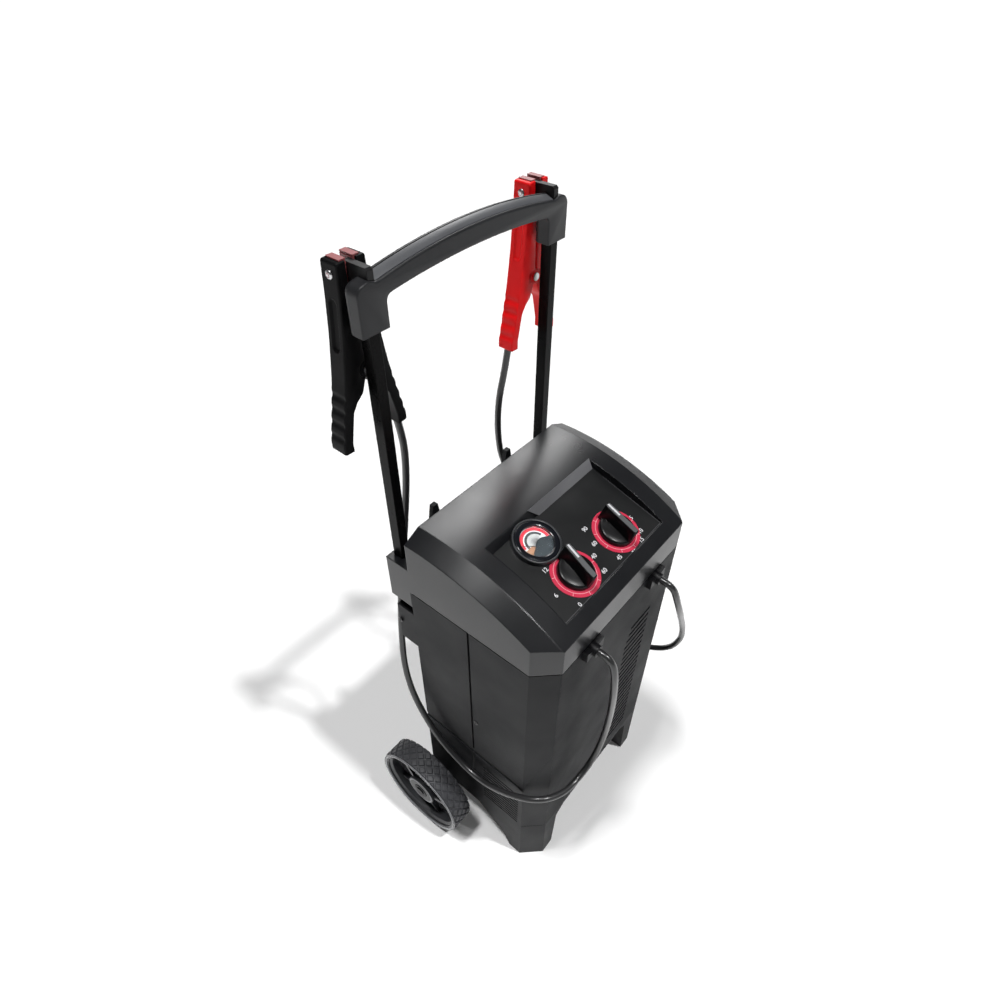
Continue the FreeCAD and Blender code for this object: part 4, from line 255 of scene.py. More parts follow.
def makeLead(colour):
    data = bpy.data.curves.new("lead_%s_jacket" % colour, "CURVE")
    data.dimensions = "3D"
    line = data.splines.new("NURBS")
    route = np.array(leadRoutes[colour], float) * mm + np.array((0, frontY * mm, 0))
    line.points.add(len(route) - 1)
    line.points.foreach_set("co", np.c_[route, np.ones(len(route))].ravel())
    line.order_u = leadSpec["order"]
    line.use_endpoint_u = True
    line.resolution_u = leadSpec["steps"]
    data.bevel_depth = leadSpec["radius"] * mm
    data.bevel_resolution = leadSpec["round"]
    data.use_fill_caps = True
    data.materials.append(paint["lead_rubber"])
    obj = bpy.data.objects.new("lead_%s_jacket" % colour, data)
    bpy.context.scene.collection.objects.link(obj)
    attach(obj, "charger")
    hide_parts("lead_" + colour)


for colour in leadRoutes:
    makeLead(colour)
print("leads laid")

floorSpec = {"half": 45.0, "white": 0.92, "rough": 0.9, "glow": 0.05}


def makeFloor(spec):
    # white floor that keeps the shadow; camera and mirror rays see a little glow of its own as well
    data = bpy.data.meshes.new("studioFloor")
    half = spec["half"]
    data.from_pydata([(-half, -half, 0), (half, -half, 0), (half, half, 0), (-half, half, 0)], [],
                     [(0, 1, 2, 3)])
    obj = bpy.data.objects.new("studioFloor", data)
    bpy.context.scene.collection.objects.link(obj)
    mat, tree, shader = plainShader("studio_floor")
    fill(shader, {"Base Color": (*[spec["white"]] * 3, 1), "Roughness": spec["rough"]})
    glow = tree.nodes.new("ShaderNodeEmission")
    path = tree.nodes.new("ShaderNodeLightPath")
    seen = tree.nodes.new("ShaderNodeMath")
    seen.operation = "MAXIMUM"
    wire(tree, path, "Is Camera Ray", seen, 0)
    wire(tree, path, "Is Glossy Ray", seen, 1)
    share = tree.nodes.new("ShaderNodeMath")
    share.operation = "MULTIPLY"
    fill(share, {1: spec["glow"]})
    wire(tree, seen, 0, share, 0)
    wire(tree, share, 0, glow, "Strength")
    add = tree.nodes.new("ShaderNodeAddShader")
    wire(tree, shader, 0, add, 0)
    wire(tree, glow, 0, add, 1)
    wire(tree, add, 0, tree.nodes["Material Output"], "Surface")
    data.materials.append(mat)


lampSpec = {
    # towards each sun, its strength and how wide it looks in degrees
    "suns": {"key": ((0.12, -0.38, 0.915), 1.84, 3.0), "overhead": ((-0.16, 0.10, 1.0), 1.8, 7.0)},
    # how many times that vector a sun's object stands away from the origin
    "sunAway": 3,
    # soft boxes seen in the sheen only: place, aim, size and watts
    "boxes": {"rightRear": ((1.16, 1.03, 2.08), (0.0, 0.05, 0.65), 0.85, 24.0)},
    # the world's light on the object; the camera itself sees plain white
    "world": 0.05,
}


def aimLamp(lamp, place, target):
    lamp.location = Vector(place)
    lamp.rotation_euler = (Vector(place) - Vector(target)).to_track_quat("Z", "Y").to_euler()
    bpy.context.scene.collection.objects.link(lamp)


def makeLamps(spec):
    for name, (towards, strength, angle) in spec["suns"].items():
        data = bpy.data.lights.new(name + "Sun", "SUN")
        data.energy, data.angle = strength, math.radians(angle)
        aimLamp(bpy.data.objects.new(name + "Sun", data), [spec["sunAway"] * c for c in towards], (0, 0, 0))
    for name, (place, target, size, watts) in spec["boxes"].items():
        data = bpy.data.lights.new(name + "Box", "AREA")
        data.shape, data.size, data.energy = "SQUARE", size, watts
        box = bpy.data.objects.new(name + "Box", data)
        box.visible_diffuse = False
        aimLamp(box, place, target)
    world = bpy.data.worlds.new("studioWorld")
    world.use_nodes = True
    tree = world.node_tree
    back = tree.nodes["Background"]
    fill(back, {"Color": (1, 1, 1, 1)})
    path = tree.nodes.new("ShaderNodeLightPath")
    level = tree.nodes.new("ShaderNodeMapRange")
    fill(level, {"To Min": spec["world"], "To Max": 1.0})
    wire(tree, path, "Is Camera Ray", level, "Value")
    wire(tree, level, "Result", back, "Strength")
    bpy.context.scene.world = world
    bpy.context.scene.view_settings.view_transform = "Standard"


makeFloor(floorSpec)
makeLamps(lampSpec)
print("floor and lamps set")

# new pieces are grids of points in mm; points closer than these, in metres, are merged or dissolved
weldSpec = {"same": 2e-6, "flat": 1e-6}


def gridPiece(name, grids, body, slot, stands=(), look=None, crease=38.0):
    # each grid is (points of shape rows x columns x 3, options); rows are rings that close on themselves
    # unless "open", "caps" closes the first and last ring with one face each, "loop" joins last ring to first
    points, faces, first = [], [], 0
    for grid, options in grids:
        rows, cols = grid.shape[:2]
        ids = np.arange(rows * cols).reshape(rows, cols) + first
        if "open" not in options:
            ids = np.c_[ids, ids[:, :1]]
        if "loop" in options:
            ids = np.r_[ids, ids[:1]]
        quads = np.stack([ids[:-1, :-1], ids[:-1, 1:], ids[1:, 1:], ids[1:, :-1]], -1).reshape(-1, 4)
        faces += quads.tolist()
        if "caps" in options:
            faces += [ids[0, :cols].tolist(), ids[-1, :cols].tolist()]
        points.append(grid.reshape(-1, 3))
        first += rows * cols
    mesh = bpy.data.meshes.new(name)
    mesh.from_pydata((np.concatenate(points) * mm).tolist(), [], faces)
    work = bmesh.new()
    work.from_mesh(mesh)
    bmesh.ops.remove_doubles(work, verts=work.verts, dist=weldSpec["same"])
    bmesh.ops.dissolve_degenerate(work, edges=work.edges, dist=weldSpec["flat"])
    bmesh.ops.recalc_face_normals(work, faces=work.faces)
    work.to_mesh(mesh)
    work.free()
    mesh.polygons.foreach_set("use_smooth", np.ones(len(mesh.polygons), bool))
    mesh.set_sharp_from_angle(angle=math.radians(crease))
    mesh.materials.append(paint[look or slot])
    obj = bpy.data.objects.new(name, mesh)
    bpy.context.scene.collection.objects.link(obj)
    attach(obj, body)
    if stands:
        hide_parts(*stands)


def turned(profile, count=96):
    # profile of (radius, height) turned about the height axis: angle t, point (r cos t, r sin t, h)
    profile = np.array(profile, float)
    t = np.linspace(0, 2 * math.pi, count, endpoint=False)
    r, h = profile[:, :1], profile[:, 1:]
    return np.stack([r * np.cos(t), r * np.sin(t), h + 0 * t], -1)


def stepped(base, top, steps, way):
    # profile points, each given as how far it lies from a radius, inwards or outwards by way, and below a top
    return [(base + way * off, top - down) for off, down in steps]


def ovalBox(halfU, halfV, power=8.0, count=72):
    # superellipse |u/a|^p + |v/b|^p = 1, a box with rounded corners
    t = np.linspace(0, 2 * math.pi, count, endpoint=False)
    c, s = np.cos(t), np.sin(t)
    u = halfU * np.sign(c) * np.abs(c) ** (2 / power)
    return np.stack([u, halfV * np.sign(s) * np.abs(s) ** (2 / power)], -1)


def outlineNormals(line):
    # unit vectors square to a closed outline, a quarter turn left of the way it runs
    along = np.roll(line, -1, 0) - np.roll(line, 1, 0)
    along /= np.maximum(np.linalg.norm(along, axis=1, keepdims=True), 1e-9)
    return np.stack([-along[:, 1], along[:, 0]], -1)


def outlineArea(line):
    # twice the area inside, positive where the outline runs anticlockwise
    ahead = np.roll(line, -1, 0)
    return np.sum(line[:, 0] * ahead[:, 1] - ahead[:, 0] * line[:, 1])


def slab(outline, levels):
    # an outline of (u, v) carried up through levels of (height, inset towards its inside)
    outline = np.asarray(outline, float)
    inward = outlineNormals(outline) * np.sign(outlineArea(outline))
    levels = np.array(levels, float)
    flat = outline[None] + inward[None] * levels[:, 1, None, None]
    return np.concatenate([flat, np.broadcast_to(levels[:, 0, None, None], flat.shape[:2] + (1,))], -1)


# the control panel's plane: its tilt in degrees, the middle of its lower edge, its half width and length
panelSpec = {"tilt": 16.7, "y": 18.8, "z": 604.6, "halfU": 110.5, "v": 122.0}


def onPanel(grid, u=0.0, v=0.0, turn=0.0):
    # (u along the panel, v up it, w out of it) turned clockwise by turn, moved to (u, v) and set in the frame
    t, k = math.radians(panelSpec["tilt"]), math.radians(-turn)
    a, b, w = grid[..., 0], grid[..., 1], grid[..., 2]
    pu, pv = u + a * math.cos(k) - b * math.sin(k), v + a * math.sin(k) + b * math.cos(k)
    return np.stack([pu, frontY + panelSpec["y"] + pv * math.cos(t) - w * math.sin(t),
                     panelSpec["z"] + pv * math.sin(t) + w * math.cos(t)], -1)


# knobs: a low dished disc with a tall grip bar across it
knobSpec = {"under": 1.4, "disc": 25.0, "discHigh": 8.0, "discFoot": 0.6, "discDome": 1.0,
            # the disc's edge, as distance in from it and distance below the disc's height
            "discEdge": ((0.0, 3.6), (0.4, 2.4), (1.4, 1.2), (3.0, 0.6), (8.0, -0.2), (16.0, -0.8)),
            # the bar: half length, how far it is set forwards, half widths, height and edge radius
            "half": 27.4, "ahead": 2.6, "wide": 4.5, "foot": 6.3, "high": 28.5, "round": 0.9, "shorter": 0.5,
            "between": (12.0, 20.0), "roundAt": (0.5, 1.0, 1.3, math.pi / 2),
            # the plate on top, whose light grey is a painted highlight of the bar's top face, and the white
            # line: sizes, then levels over the bar's top with insets
            "plateIn": (0.9, 1.6), "plateLevels": ((-0.3, 0), (0.12, 0), (0.25, 0.15)),
            "lineHalf": (1.45, 10.4), "linePower": 14.0, "lineBack": 12.6,
            "lineLevels": ((0.0, 0), (0.42, 0), (0.5, 0.08))}


def knobBar(spec):
    # superellipse outlines stacked from foot to top, half width falling evenly, last rings drawn in
    high, r = spec["high"], spec["round"]
    levels = [spec["under"], *spec["between"], high - r]
    levels += [high - r + r * math.sin(a) for a in spec["roundAt"]]
    insets = [0, 0, 0, 0] + [r * (1 - math.cos(a)) for a in spec["roundAt"]]
    rings = []
    for h, inset in zip(levels, insets):
        share = (h - spec["under"]) / (high - spec["under"])
        half = spec["foot"] + (spec["wide"] - spec["foot"]) * share
        ring = ovalBox(half - inset, spec["half"] - spec["shorter"] * share - inset)
        rings.append(np.c_[ring + (0, spec["ahead"]), np.full(len(ring), h)])
    return np.array(rings)


def raised(base, levels):
    return [(base + up, inset) for up, inset in levels]


def makeKnob(which, dial):
    spec, place = knobSpec, (dial["u"], dial["v"], dial["point"])
    name, body = which + "_knob_moulded", which + "_turn"
    low, top, r = spec["under"], spec["under"] + spec["discHigh"], spec["disc"]
    foot = spec["discFoot"]
    profile = [(0, low), (r - foot, low), (r, low + foot)] + stepped(r, top, spec["discEdge"], -1)
    disc = turned(profile + [(0, top + spec["discDome"])], 112)
    gridPiece(name, [(onPanel(disc, *place), ""), (onPanel(knobBar(spec), *place), "caps")],
              body, "knob_plastic", [which + "_knob"])
    # the top plate's light grey is a painted highlight of the bar's top face
    plate = ovalBox(spec["wide"] - spec["plateIn"][0], spec["half"] - spec["plateIn"][1]) + (0, spec["ahead"])
    plate = slab(plate, raised(spec["high"], spec["plateLevels"]))
    gridPiece(name + "_top", [(onPanel(plate, *place), "caps")], body, "knob_plastic", look="knob_top_painted_sheen")
    front = spec["half"] + spec["ahead"] - spec["lineBack"]
    line = ovalBox(*spec["lineHalf"], spec["linePower"]) + (0, front)
    line = slab(line, raised(spec["high"], spec["lineLevels"]))
    gridPiece(name + "_line", [(onPanel(line, *place), "caps")], body, "dial_white", look="print_white")


# each dial's middle on the panel, where its knob points, and its ticks, in degrees clockwise from up
dialSpec = {
    "selector": {"u": -46.0, "v": 34.6, "point": 10.5, "ticks": (-62, -20, 22, 100, 150, 196, 238)},
    "timer": {"u": 48.0, "v": 36.0, "point": 5.7, "ticks": (-60, -20, 15, 60, 100, 140, 180, 220, 258)},
}
for which, dial in dialSpec.items():
    makeKnob(which, dial)


def bandArc(radius, wide, start, end, w0, w1, count):
    # a flat strip of a circle: four corners carried round an arc, angles in degrees clockwise from up
    a = np.radians(np.linspace(start, end, count))
    r = np.array([radius - wide / 2, radius + wide / 2, radius + wide / 2, radius - wide / 2])
    w = np.array([w0, w0, w1, w1])
    return np.stack([np.sin(a)[:, None] * r, np.cos(a)[:, None] * r, np.broadcast_to(w, (count, 4))], -1)


# the print on a dial's ring: its circle, its ticks and its height above the panel
printSpec = {"radius": 28.6, "wide": 0.75, "tickOut": 2.3, "tickLong": 4.2, "tickHalf": 0.75,
             "w": (0.75, 0.92)}


def makeDialPrint(which, dial, spec):
    # a fine circle on the ring, with a short tick outwards at each mark
    bands = [(bandArc(spec["radius"], spec["wide"], 0, 360, *spec["w"], 145), "")]
    for a in dial["ticks"]:
        tick = bandArc(spec["radius"] + spec["tickOut"], spec["tickLong"],
                       a - spec["tickHalf"], a + spec["tickHalf"], *spec["w"], 3)
        bands.append((tick, "caps"))
    parts = [(onPanel(band, dial["u"], dial["v"]), options) for band, options in bands]
    gridPiece(which + "_dial_marks", parts, "charger", "ring_red", look="print_pink")


for which, dial in dialSpec.items():
    makeDialPrint(which, dial, printSpec)

# plain numbers round the dials: text and place on the panel, with sizes for all of them
numberSpec = {
    "high": 6.4, "fontPerHigh": 1.32, "rise": 0.14, "extrude": 0.05, "bolder": 0.16, "steps": 3,
    "marks": (("12", -72, 63), ("6", -89, 32), ("0", -76, 4.2), ("2", -52, 4.2), ("40", -7, 33),
              ("60", -14, 11),
              ("90", 17, 66), ("60", 9, 44), ("45", 18, 9), ("30", 42, 4.2), ("15", 64, 4.2), ("10", 75, 13),
              ("5", 83, 34), ("0", 75, 66)),
}


def makeNumbers(spec):
    # each text is turned into a mesh first, then its points are set on the panel
    parts, faces, first = [], [], 0
    graph = bpy.context.evaluated_depsgraph_get
    for text, u, v in spec["marks"]:
        data = bpy.data.curves.new("number" + text, "FONT")
        data.body, data.size = text, spec["high"] * spec["fontPerHigh"]
        data.align_x, data.align_y = "CENTER", "CENTER"
        data.extrude, data.resolution_u, data.offset = spec["extrude"], spec["steps"], spec["bolder"]
        obj = bpy.data.objects.new("number" + text, data)
        bpy.context.scene.collection.objects.link(obj)
        graph().update()
        mesh = bpy.data.meshes.new_from_object(obj.evaluated_get(graph()))
        co = np.empty(len(mesh.vertices) * 3)
        mesh.vertices.foreach_get("co", co)
        co = co.reshape(-1, 3)
        co[:, 2] = np.where(co[:, 2] > 0, spec["rise"], 0.0)
        parts.append(onPanel(co, u, v))
        faces += [[i + first for i in f.vertices] for f in mesh.polygons]
        first += len(co)
        bpy.data.objects.remove(obj)
        bpy.data.curves.remove(data)
        bpy.data.meshes.remove(mesh)
    mesh = bpy.data.meshes.new("panel_numbers")
    mesh.from_pydata((np.concatenate(parts) * mm).tolist(), [], faces)
    mesh.materials.append(paint["print_white"])
    obj = bpy.data.objects.new("panel_numbers", mesh)
    bpy.context.scene.collection.objects.link(obj)
    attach(obj, "charger")


makeNumbers(numberSpec)

# the thin line near the panel's edge: distance in from it, sizes, corner radius, how far its right end stays
# below the panel's upper edge, and how much higher its left end lies
borderSpec = {"in": 1.5, "wide": 0.8, "thick": 0.12, "round": 1.2, "below": 20.0, "leftUp": 16.0}


def makeBorder(spec):
    # down the left side, along the lower edge and up the right one: a section of four corners carried along
    u, low, r = panelSpec["halfU"] - spec["in"], spec["in"], spec["round"]
    high = panelSpec["v"] - spec["below"]
    a = np.radians(np.linspace(180, 270, 9))
    left = np.c_[-u + r + r * np.cos(a), low + r + r * np.sin(a)]
    run = np.r_[[(-u, high + spec["leftUp"])], left, left[::-1] * (-1, 1), [(u, high)]]
    along = np.gradient(run, axis=0)
    along /= np.linalg.norm(along, axis=1, keepdims=True)
    side = np.stack([-along[:, 1], along[:, 0]], -1)
    half = spec["wide"] / 2
    off = np.array([-half, half, half, -half])
    flat = run[:, None] + side[:, None] * off[None, :, None]
    w = np.broadcast_to(np.array([0, 0, spec["thick"], spec["thick"]]), flat.shape[:2])
    grid = onPanel(np.concatenate([flat, w[..., None]], -1))
    gridPiece("panel_border", [(grid, "caps")], "charger", "panel_plastic", look="print_line")


makeBorder(borderSpec)

# grey strip: a thin plate that leans back on the recess's rear slope, its left end cut on a slant
stripSpec = {"u0": -29.0, "slant": 15.0, "u1": 108.5, "v0": 120.4, "v1": 131.8, "thick": 0.8,
             "nose": 0.5, "bevel": 0.2, "bevelDrop": 0.35}


def makeStrip(spec):
    # rows across the plate, from under its front edge up the slope of 45 degrees to its rear edge
    rise, t, nose = spec["v1"] - spec["v0"], spec["thick"], spec["nose"]
    v = spec["v0"] + np.array([0.0, 0.0, nose, rise, rise + nose])
    w = np.array([0.0, 0.5 * t, t, rise + t, rise])
    left = spec["u0"] + spec["slant"] * (spec["v1"] - v) / rise
    right = np.full(len(v), spec["u1"])
    u = np.stack([left, left + spec["bevel"], right - spec["bevel"], right], -1)
    drop = np.array([spec["bevelDrop"], 0.0, 0.0, spec["bevelDrop"]])
    grid = np.stack([u, np.broadcast_to(v[:, None], u.shape), w[:, None] - drop], -1)
    gridPiece("panel_strip_plate", [(onPanel(grid), "open")], "charger", "strip_plastic", ["panel_strip"])


makeStrip(stripSpec)
print("panel marks, numbers and knobs made")

# ammeter: glossy ring with a deep inner step; each W is a height above the panel
meterSpec = {"u": -51.0, "v": 96.0, "ring": 33.0, "high": 7.6, "inner": 22.3,
             "dialW": 3.0, "needleW": 3.5, "maskW": 4.4, "lensW": 5.6,
             # profiles as distance from the outer or inner radius, and distance below the ring's height
             "lip": ((0.0, 1.3), (0.3, 0.4), (0.9, 0.0), (2.4, 0.0), (2.8, 0.3), (3.0, 1.2)), "lipWide": 3.0,
             "ringIn": 3.2, "ringEdge": ((0.0, 0.9), (0.4, 0.3), (1.2, 0.0)),
             "ringStep": ((2.2, 0.5), (0.7, 0.9), (0.0, 1.6)), "seat": 0.4, "ledge": 2.0, "ledgeFoot": 2.2,
             "bead": ((-0.05, 1.7), (0.2, 1.15), (0.6, 0.85), (0.9, 1.0), (0.9, 1.7))}
# prints on the dial: look, then bands of radius, width, start and end in degrees, low and top height, steps
dialPrints = {
    "dial_face": ("dial_white", [(11.15, 22.3, -180, 180, -0.3, 0.0, 80)]),
    "dial_red_band": ("print_red", [(19.6, 4.8, -84, 108, 0.0, 0.12, 44)]),
    "dial_pale_bands": ("print_white", [(16.3, 1.1, -84, 108, 0.0, 0.12, 44),
                                        (21.9, 0.4, -60, 108, 0.0, 0.16, 44)]),
    "dial_black_band": ("needle_dark", [(13.9, 3.4, -96, 76, 0.0, 0.12, 40)]),
    "dial_brown_patch": ("dial_brown", [(14.5, 15.0, -130, -92, 0.0, 0.16, 24)]),
}


def onMeter(grid):
    return onPanel(grid, meterSpec["u"], meterSpec["v"])


def makeMeter(spec):
    r, h, inner, w = spec["ring"], spec["high"], spec["inner"], spec["dialW"]
    lip = turned([(r, 0.0)] + stepped(r, h, spec["lip"], -1) + [(r - spec["lipWide"], 0.0)], 128)
    gridPiece("ammeter_lip", [(onMeter(lip), "loop")], "charger", "bezel_plastic", look="bezel_grey")
    t, seat = r - spec["ringIn"], w - spec["seat"]
    profile = [(t, 0.0)] + stepped(t, h, spec["ringEdge"], -1) + stepped(inner, h, spec["ringStep"], 1)
    profile += [(inner, seat), (inner + spec["ledge"], seat), (inner + spec["ledgeFoot"], 0.0)]
    gridPiece("ammeter_ring", [(onMeter(turned(profile, 128)), "loop")], "charger", "bezel_plastic",
              ["meter_bezel"])
    bead = turned(stepped(inner, h, spec["bead"], 1), 112)
    gridPiece("ammeter_bead", [(onMeter(bead), "loop")], "charger", "bezel_plastic", look="bezel_grey")
    for name, (look, bands) in dialPrints.items():
        parts = [(onMeter(bandArc(radius, wide, start, end, w + low, w + top, count)), "caps")
                 for radius, wide, start, end, low, top, count in bands]
        gridPiece(name, parts, "charger", "dial_white", ["meter_dial"] if name == "dial_face" else (),
                  look=look)


# the needle's pivot lies below the dial's middle; its half widths are at tail, pivot and tip
needleSpec = {"long": 27.0, "tail": 5.0, "pivotV": -9.0, "rest": 48.0, "halves": (0.5, 0.55, 0.17),
              "levels": ((0.0, 0), (0.3, 0), (0.45, 0.05))}


def makeNeedle(spec, meter):
    # a tapered blade with a tail, turned about its pivot
    turn, long, tail = math.radians(spec["rest"]), spec["long"], spec["tail"]
    back, mid, tip = spec["halves"]
    blade = np.array([(-back, -tail), (back, -tail), (mid, 0.0), (tip, long), (-tip, long), (-mid, 0.0)])
    c, s = math.cos(turn), math.sin(turn)
    flat = np.stack([blade[:, 0] * c - blade[:, 1] * s, blade[:, 0] * s + blade[:, 1] * c], -1)
    grid = slab(flat + (0, spec["pivotV"]), raised(meter["needleW"], spec["levels"]))
    gridPiece("ammeter_needle", [(onMeter(grid), "caps")], "meter_pointer", "needle_dark", ["meter_needle"])


domeSpec = {"clear": 0.1, "rise": 0.7, "thick": 0.6, "rows": (1.0, 0.9, 0.75, 0.5, 0.25, 0.0)}


def makeLens(spec, meter):
    # a slightly domed clear disc, its height falling with the square of the radius
    r, w, rise = meter["inner"] - spec["clear"], meter["lensW"], spec["rise"]
    rows = [(r * k, w + rise - rise * k * k) for k in spec["rows"]]
    disc = turned([(0.0, w - spec["thick"]), (r, w - spec["thick"])] + rows, 96)
    gridPiece("ammeter_lens", [(onMeter(disc), "")], "charger", "lens_clear", ["meter_lens"])


makeNeedle(needleSpec, meterSpec)
makeLens(domeSpec, meterSpec)
makeMeter(meterSpec)

# the mask's round edge in degrees clockwise from up, and the knots of its upper edge about the dial's middle
maskSpec = {"radius": 22.2, "start": 104.0, "end": 240.0, "count": 60, "mean": 9,
            "edge": ((-14.6, -8.2), (-10.4, -6.4), (-2.8, -1.4), (4.0, 1.0), (9.8, 0.2), (15.4, -3.0)),
            "levels": ((-0.4, 0), (0.0, 0), (0.15, 0.12))}


def makeMask(spec, meter):
    # grey cover: a disc's outline below, its upper edge straight from knot to knot, eased by a running mean
    a = np.radians(np.linspace(spec["start"], spec["end"], spec["count"]))
    low = np.c_[spec["radius"] * np.sin(a), spec["radius"] * np.cos(a)]
    knots = np.r_[low[-1:], spec["edge"], low[:1]]
    far = np.r_[0, np.cumsum(np.linalg.norm(np.diff(knots, axis=0), axis=1))]
    t = np.linspace(0, far[-1], spec["count"])[1:-1]
    run = np.stack([np.interp(t, far, knots[:, k]) for k in (0, 1)], -1)
    mean = spec["mean"]
    padded = np.r_[np.repeat(low[-1:], mean // 2, 0), run, np.repeat(low[:1], mean // 2, 0)]
    eased = np.stack([np.convolve(padded[:, k], np.ones(mean) / mean, "valid") for k in (0, 1)], -1)
    shape = slab(np.r_[low, eased], raised(meter["maskW"], spec["levels"]))
    gridPiece("ammeter_mask", [(onMeter(shape), "caps")], "charger", "mask_grey", ["meter_mask"])


makeMask(maskSpec, meterSpec)
print("ammeter made")

# grip: the outline of the bow and its elbows, carried through the depth with rounded edges
gripSpec = {"topEnd": 972.3, "topMid": 987.5, "topHalf": 150.0, "lowEnd": 951.5, "lowMid": 960.0,
            "lowHalf": 130.0,
            "outX": 166.0, "inX": 130.0, "footZ": 918.0, "outRound": 12.0, "inRound": 8.0, "y0": 244.5,
            # rows of depth, inset all round, and lean of the top face, with the groove for the inlaid strip
            "section": ((0, 1.6, 6.2), (0.3, 0.8, 6.1), (0.9, 0.25, 5.9), (1.7, 0, 5.5), (2.2, 0, 5.3),
                        (2.35, 0, 6.7), (14.6, 0, 2.1), (14.75, 0, 0.35), (16.0, 0.1, 0), (18.5, 1.0, 0),
                        (20.5, 2.3, 0), (22.3, 4.2, 0), (23.6, 6.4, 0), (24.3, 8.4, 0), (24.5, 10.0, 0)),
            # the lean fades out over this length at each end of the big arc, found within this distance of it
            "leanFade": 9.0, "nearArc": 0.5}
# the inlaid strip, whose lighter grey is a painted highlight of the grip's top: half its length, then front and
# rear edge as depth and distance below the arc
inlaySpec = {"half": 140.0, "front": (3.2, 4.9), "rear": (13.9, 0.55), "under": 1.6, "round": 0.6, "cut": 0.3}


def arcFrame(half, zEnd, zMid):
    # height of the middle and radius of the arc through both ends and the middle
    rise = zMid - zEnd
    r = (half ** 2 + rise ** 2) / (2 * rise)
    return zMid - r, r


def arc(x, z, r, start, end, count):
    # points (x + r sin a, z + r cos a), a in radians clockwise from up
    a = np.linspace(start, end, count)
    return np.c_[x + r * np.sin(a), z + r * np.cos(a)]


def gripOutline(spec):
    # right half from the middle of the top: big arc, corner, side, foot, corner and lower arc, then mirrored
    outX, inX, footZ = spec["outX"], spec["inX"], spec["footZ"]
    zc, big = arcFrame(spec["topHalf"], spec["topEnd"], spec["topMid"])
    r = spec["outRound"]
    cx = outX - r
    cz = zc + math.sqrt((big - r) ** 2 - cx ** 2)
    stop = math.atan2(cx, cz - zc)
    top = arc(0, zc, big, 0, stop, 44)
    corner = arc(cx, cz, r, stop, math.pi / 2, 12)[1:]
    side = np.c_[np.full(9, outX), np.linspace(cz, footZ, 10)[1:]]
    foot = np.c_[np.linspace(outX, inX, 8)[1:], np.full(7, footZ)]
    zl, low = arcFrame(spec["lowHalf"], spec["lowEnd"], spec["lowMid"])
    q = spec["inRound"]
    bx = inX - q
    bz = zl + math.sqrt((low - q) ** 2 - bx ** 2)
    up = np.c_[np.full(6, inX), np.linspace(footZ, bz, 7)[1:]]
    stop = math.atan2(bx, bz - zl)
    inner = arc(bx, bz, q, math.pi / 2, stop, 10)[1:]
    bottom = arc(0, zl, low, stop, 0, 40)[1:]
    half = np.r_[top, corner, side, foot, up, inner, bottom]
    return np.r_[half, half[1:-1][::-1] * (-1, 1)]


def makeGrip(spec):
    # outline plus inward normal times (inset of the row + its lean on the top face), one row for each depth
    line = gripOutline(spec)
    x = line[:, 0]
    inward = -outlineNormals(line)
    # the feet stay flat: only their corners move, and only sideways
    foot = np.isclose(line[:, 1], spec["footZ"])
    atOut, atIn = foot & np.isclose(np.abs(x), spec["outX"]), foot & np.isclose(np.abs(x), spec["inX"])
    inward[foot] = 0
    inward[atOut, 0] = -np.sign(x[atOut])
    inward[atIn, 0] = np.sign(x[atIn])
    y, inset, lean = np.array(spec["section"], float).T
    zc, big = arcFrame(spec["topHalf"], spec["topEnd"], spec["topMid"])
    isTop = np.abs(np.hypot(x, line[:, 1] - zc) - big) < spec["nearArc"]
    share = np.where(isTop, np.clip((spec["topHalf"] - np.abs(x)) / spec["leanFade"], 0, 1), 0)
    push = inset[:, None] + lean[:, None] * share[None]
    flat = line[None] + inward[None] * push[..., None]
    depth = np.broadcast_to((spec["y0"] + frontY + y)[:, None], flat.shape[:2])
    grid = np.stack([flat[..., 0], depth, flat[..., 1]], -1)
    gridPiece("handle_grip_moulded", [(grid, "caps")], "charger", "grip_plastic", ["handle_grip"],
              crease=50.0)


def makeInlay(spec, grip):
    # a strip along the big arc: a leaning section with rounded top edges, carried from end to end, in a lighter
    # grey that paints the highlight on the grip's top
    zc, big = arcFrame(grip["topHalf"], grip["topEnd"], grip["topMid"])
    x = np.linspace(-spec["half"], spec["half"], 90)[:, None]
    (y0, d0), (y1, d1), e = spec["front"], spec["rear"], spec["round"]
    slope, cut = (d1 - d0) / (y1 - y0), spec["cut"] * e
    front = [(y0, d0 + spec["under"]), (y0, d0 + e), (y0 + cut, d0 + cut), (y0 + e, d0 + slope * e)]
    rear = [(y1 - e, d1 - slope * e), (y1 - cut, d1 + cut), (y1, d1 + e), (y1, d1 + spec["under"])]
    y, down = np.array(front + rear).T
    z = zc + np.sqrt((big - down) ** 2 - x ** 2)
    grid = np.stack([np.broadcast_to(x, z.shape), np.broadcast_to(grip["y0"] + frontY + y, z.shape), z], -1)
    gridPiece("handle_grip_inlay", [(grid, "caps")], "charger", "grip_plastic", look="inlay_painted_sheen",
              crease=50.0)


makeGrip(gripSpec)
makeInlay(inlaySpec, gripSpec)
print("grip made")

# tyres: a thin band with a lattice of shallow grooves that cross as diamonds
tyreSpec = {"r": 85.0, "y": 206.0, "z": 85.0, "x0": 186.0, "x1": 223.85, "inner": 76.15, "shoulder": 2.6,
            "cells": 28, "across": 15.4, "groove": 1.5, "deep": 2.3, "bankOut": 0.45, "bank": 0.7,
            "steps": 936, "columns": 58}


def onAxle(x, r, t):
    # a point at radius r and angle t about the axle, at x along it
    return np.stack([np.broadcast_to(x, np.broadcast_shapes(np.shape(x), r.shape)),
                     tyreSpec["y"] + frontY + r * np.sin(t), tyreSpec["z"] + r * np.cos(t)], -1)


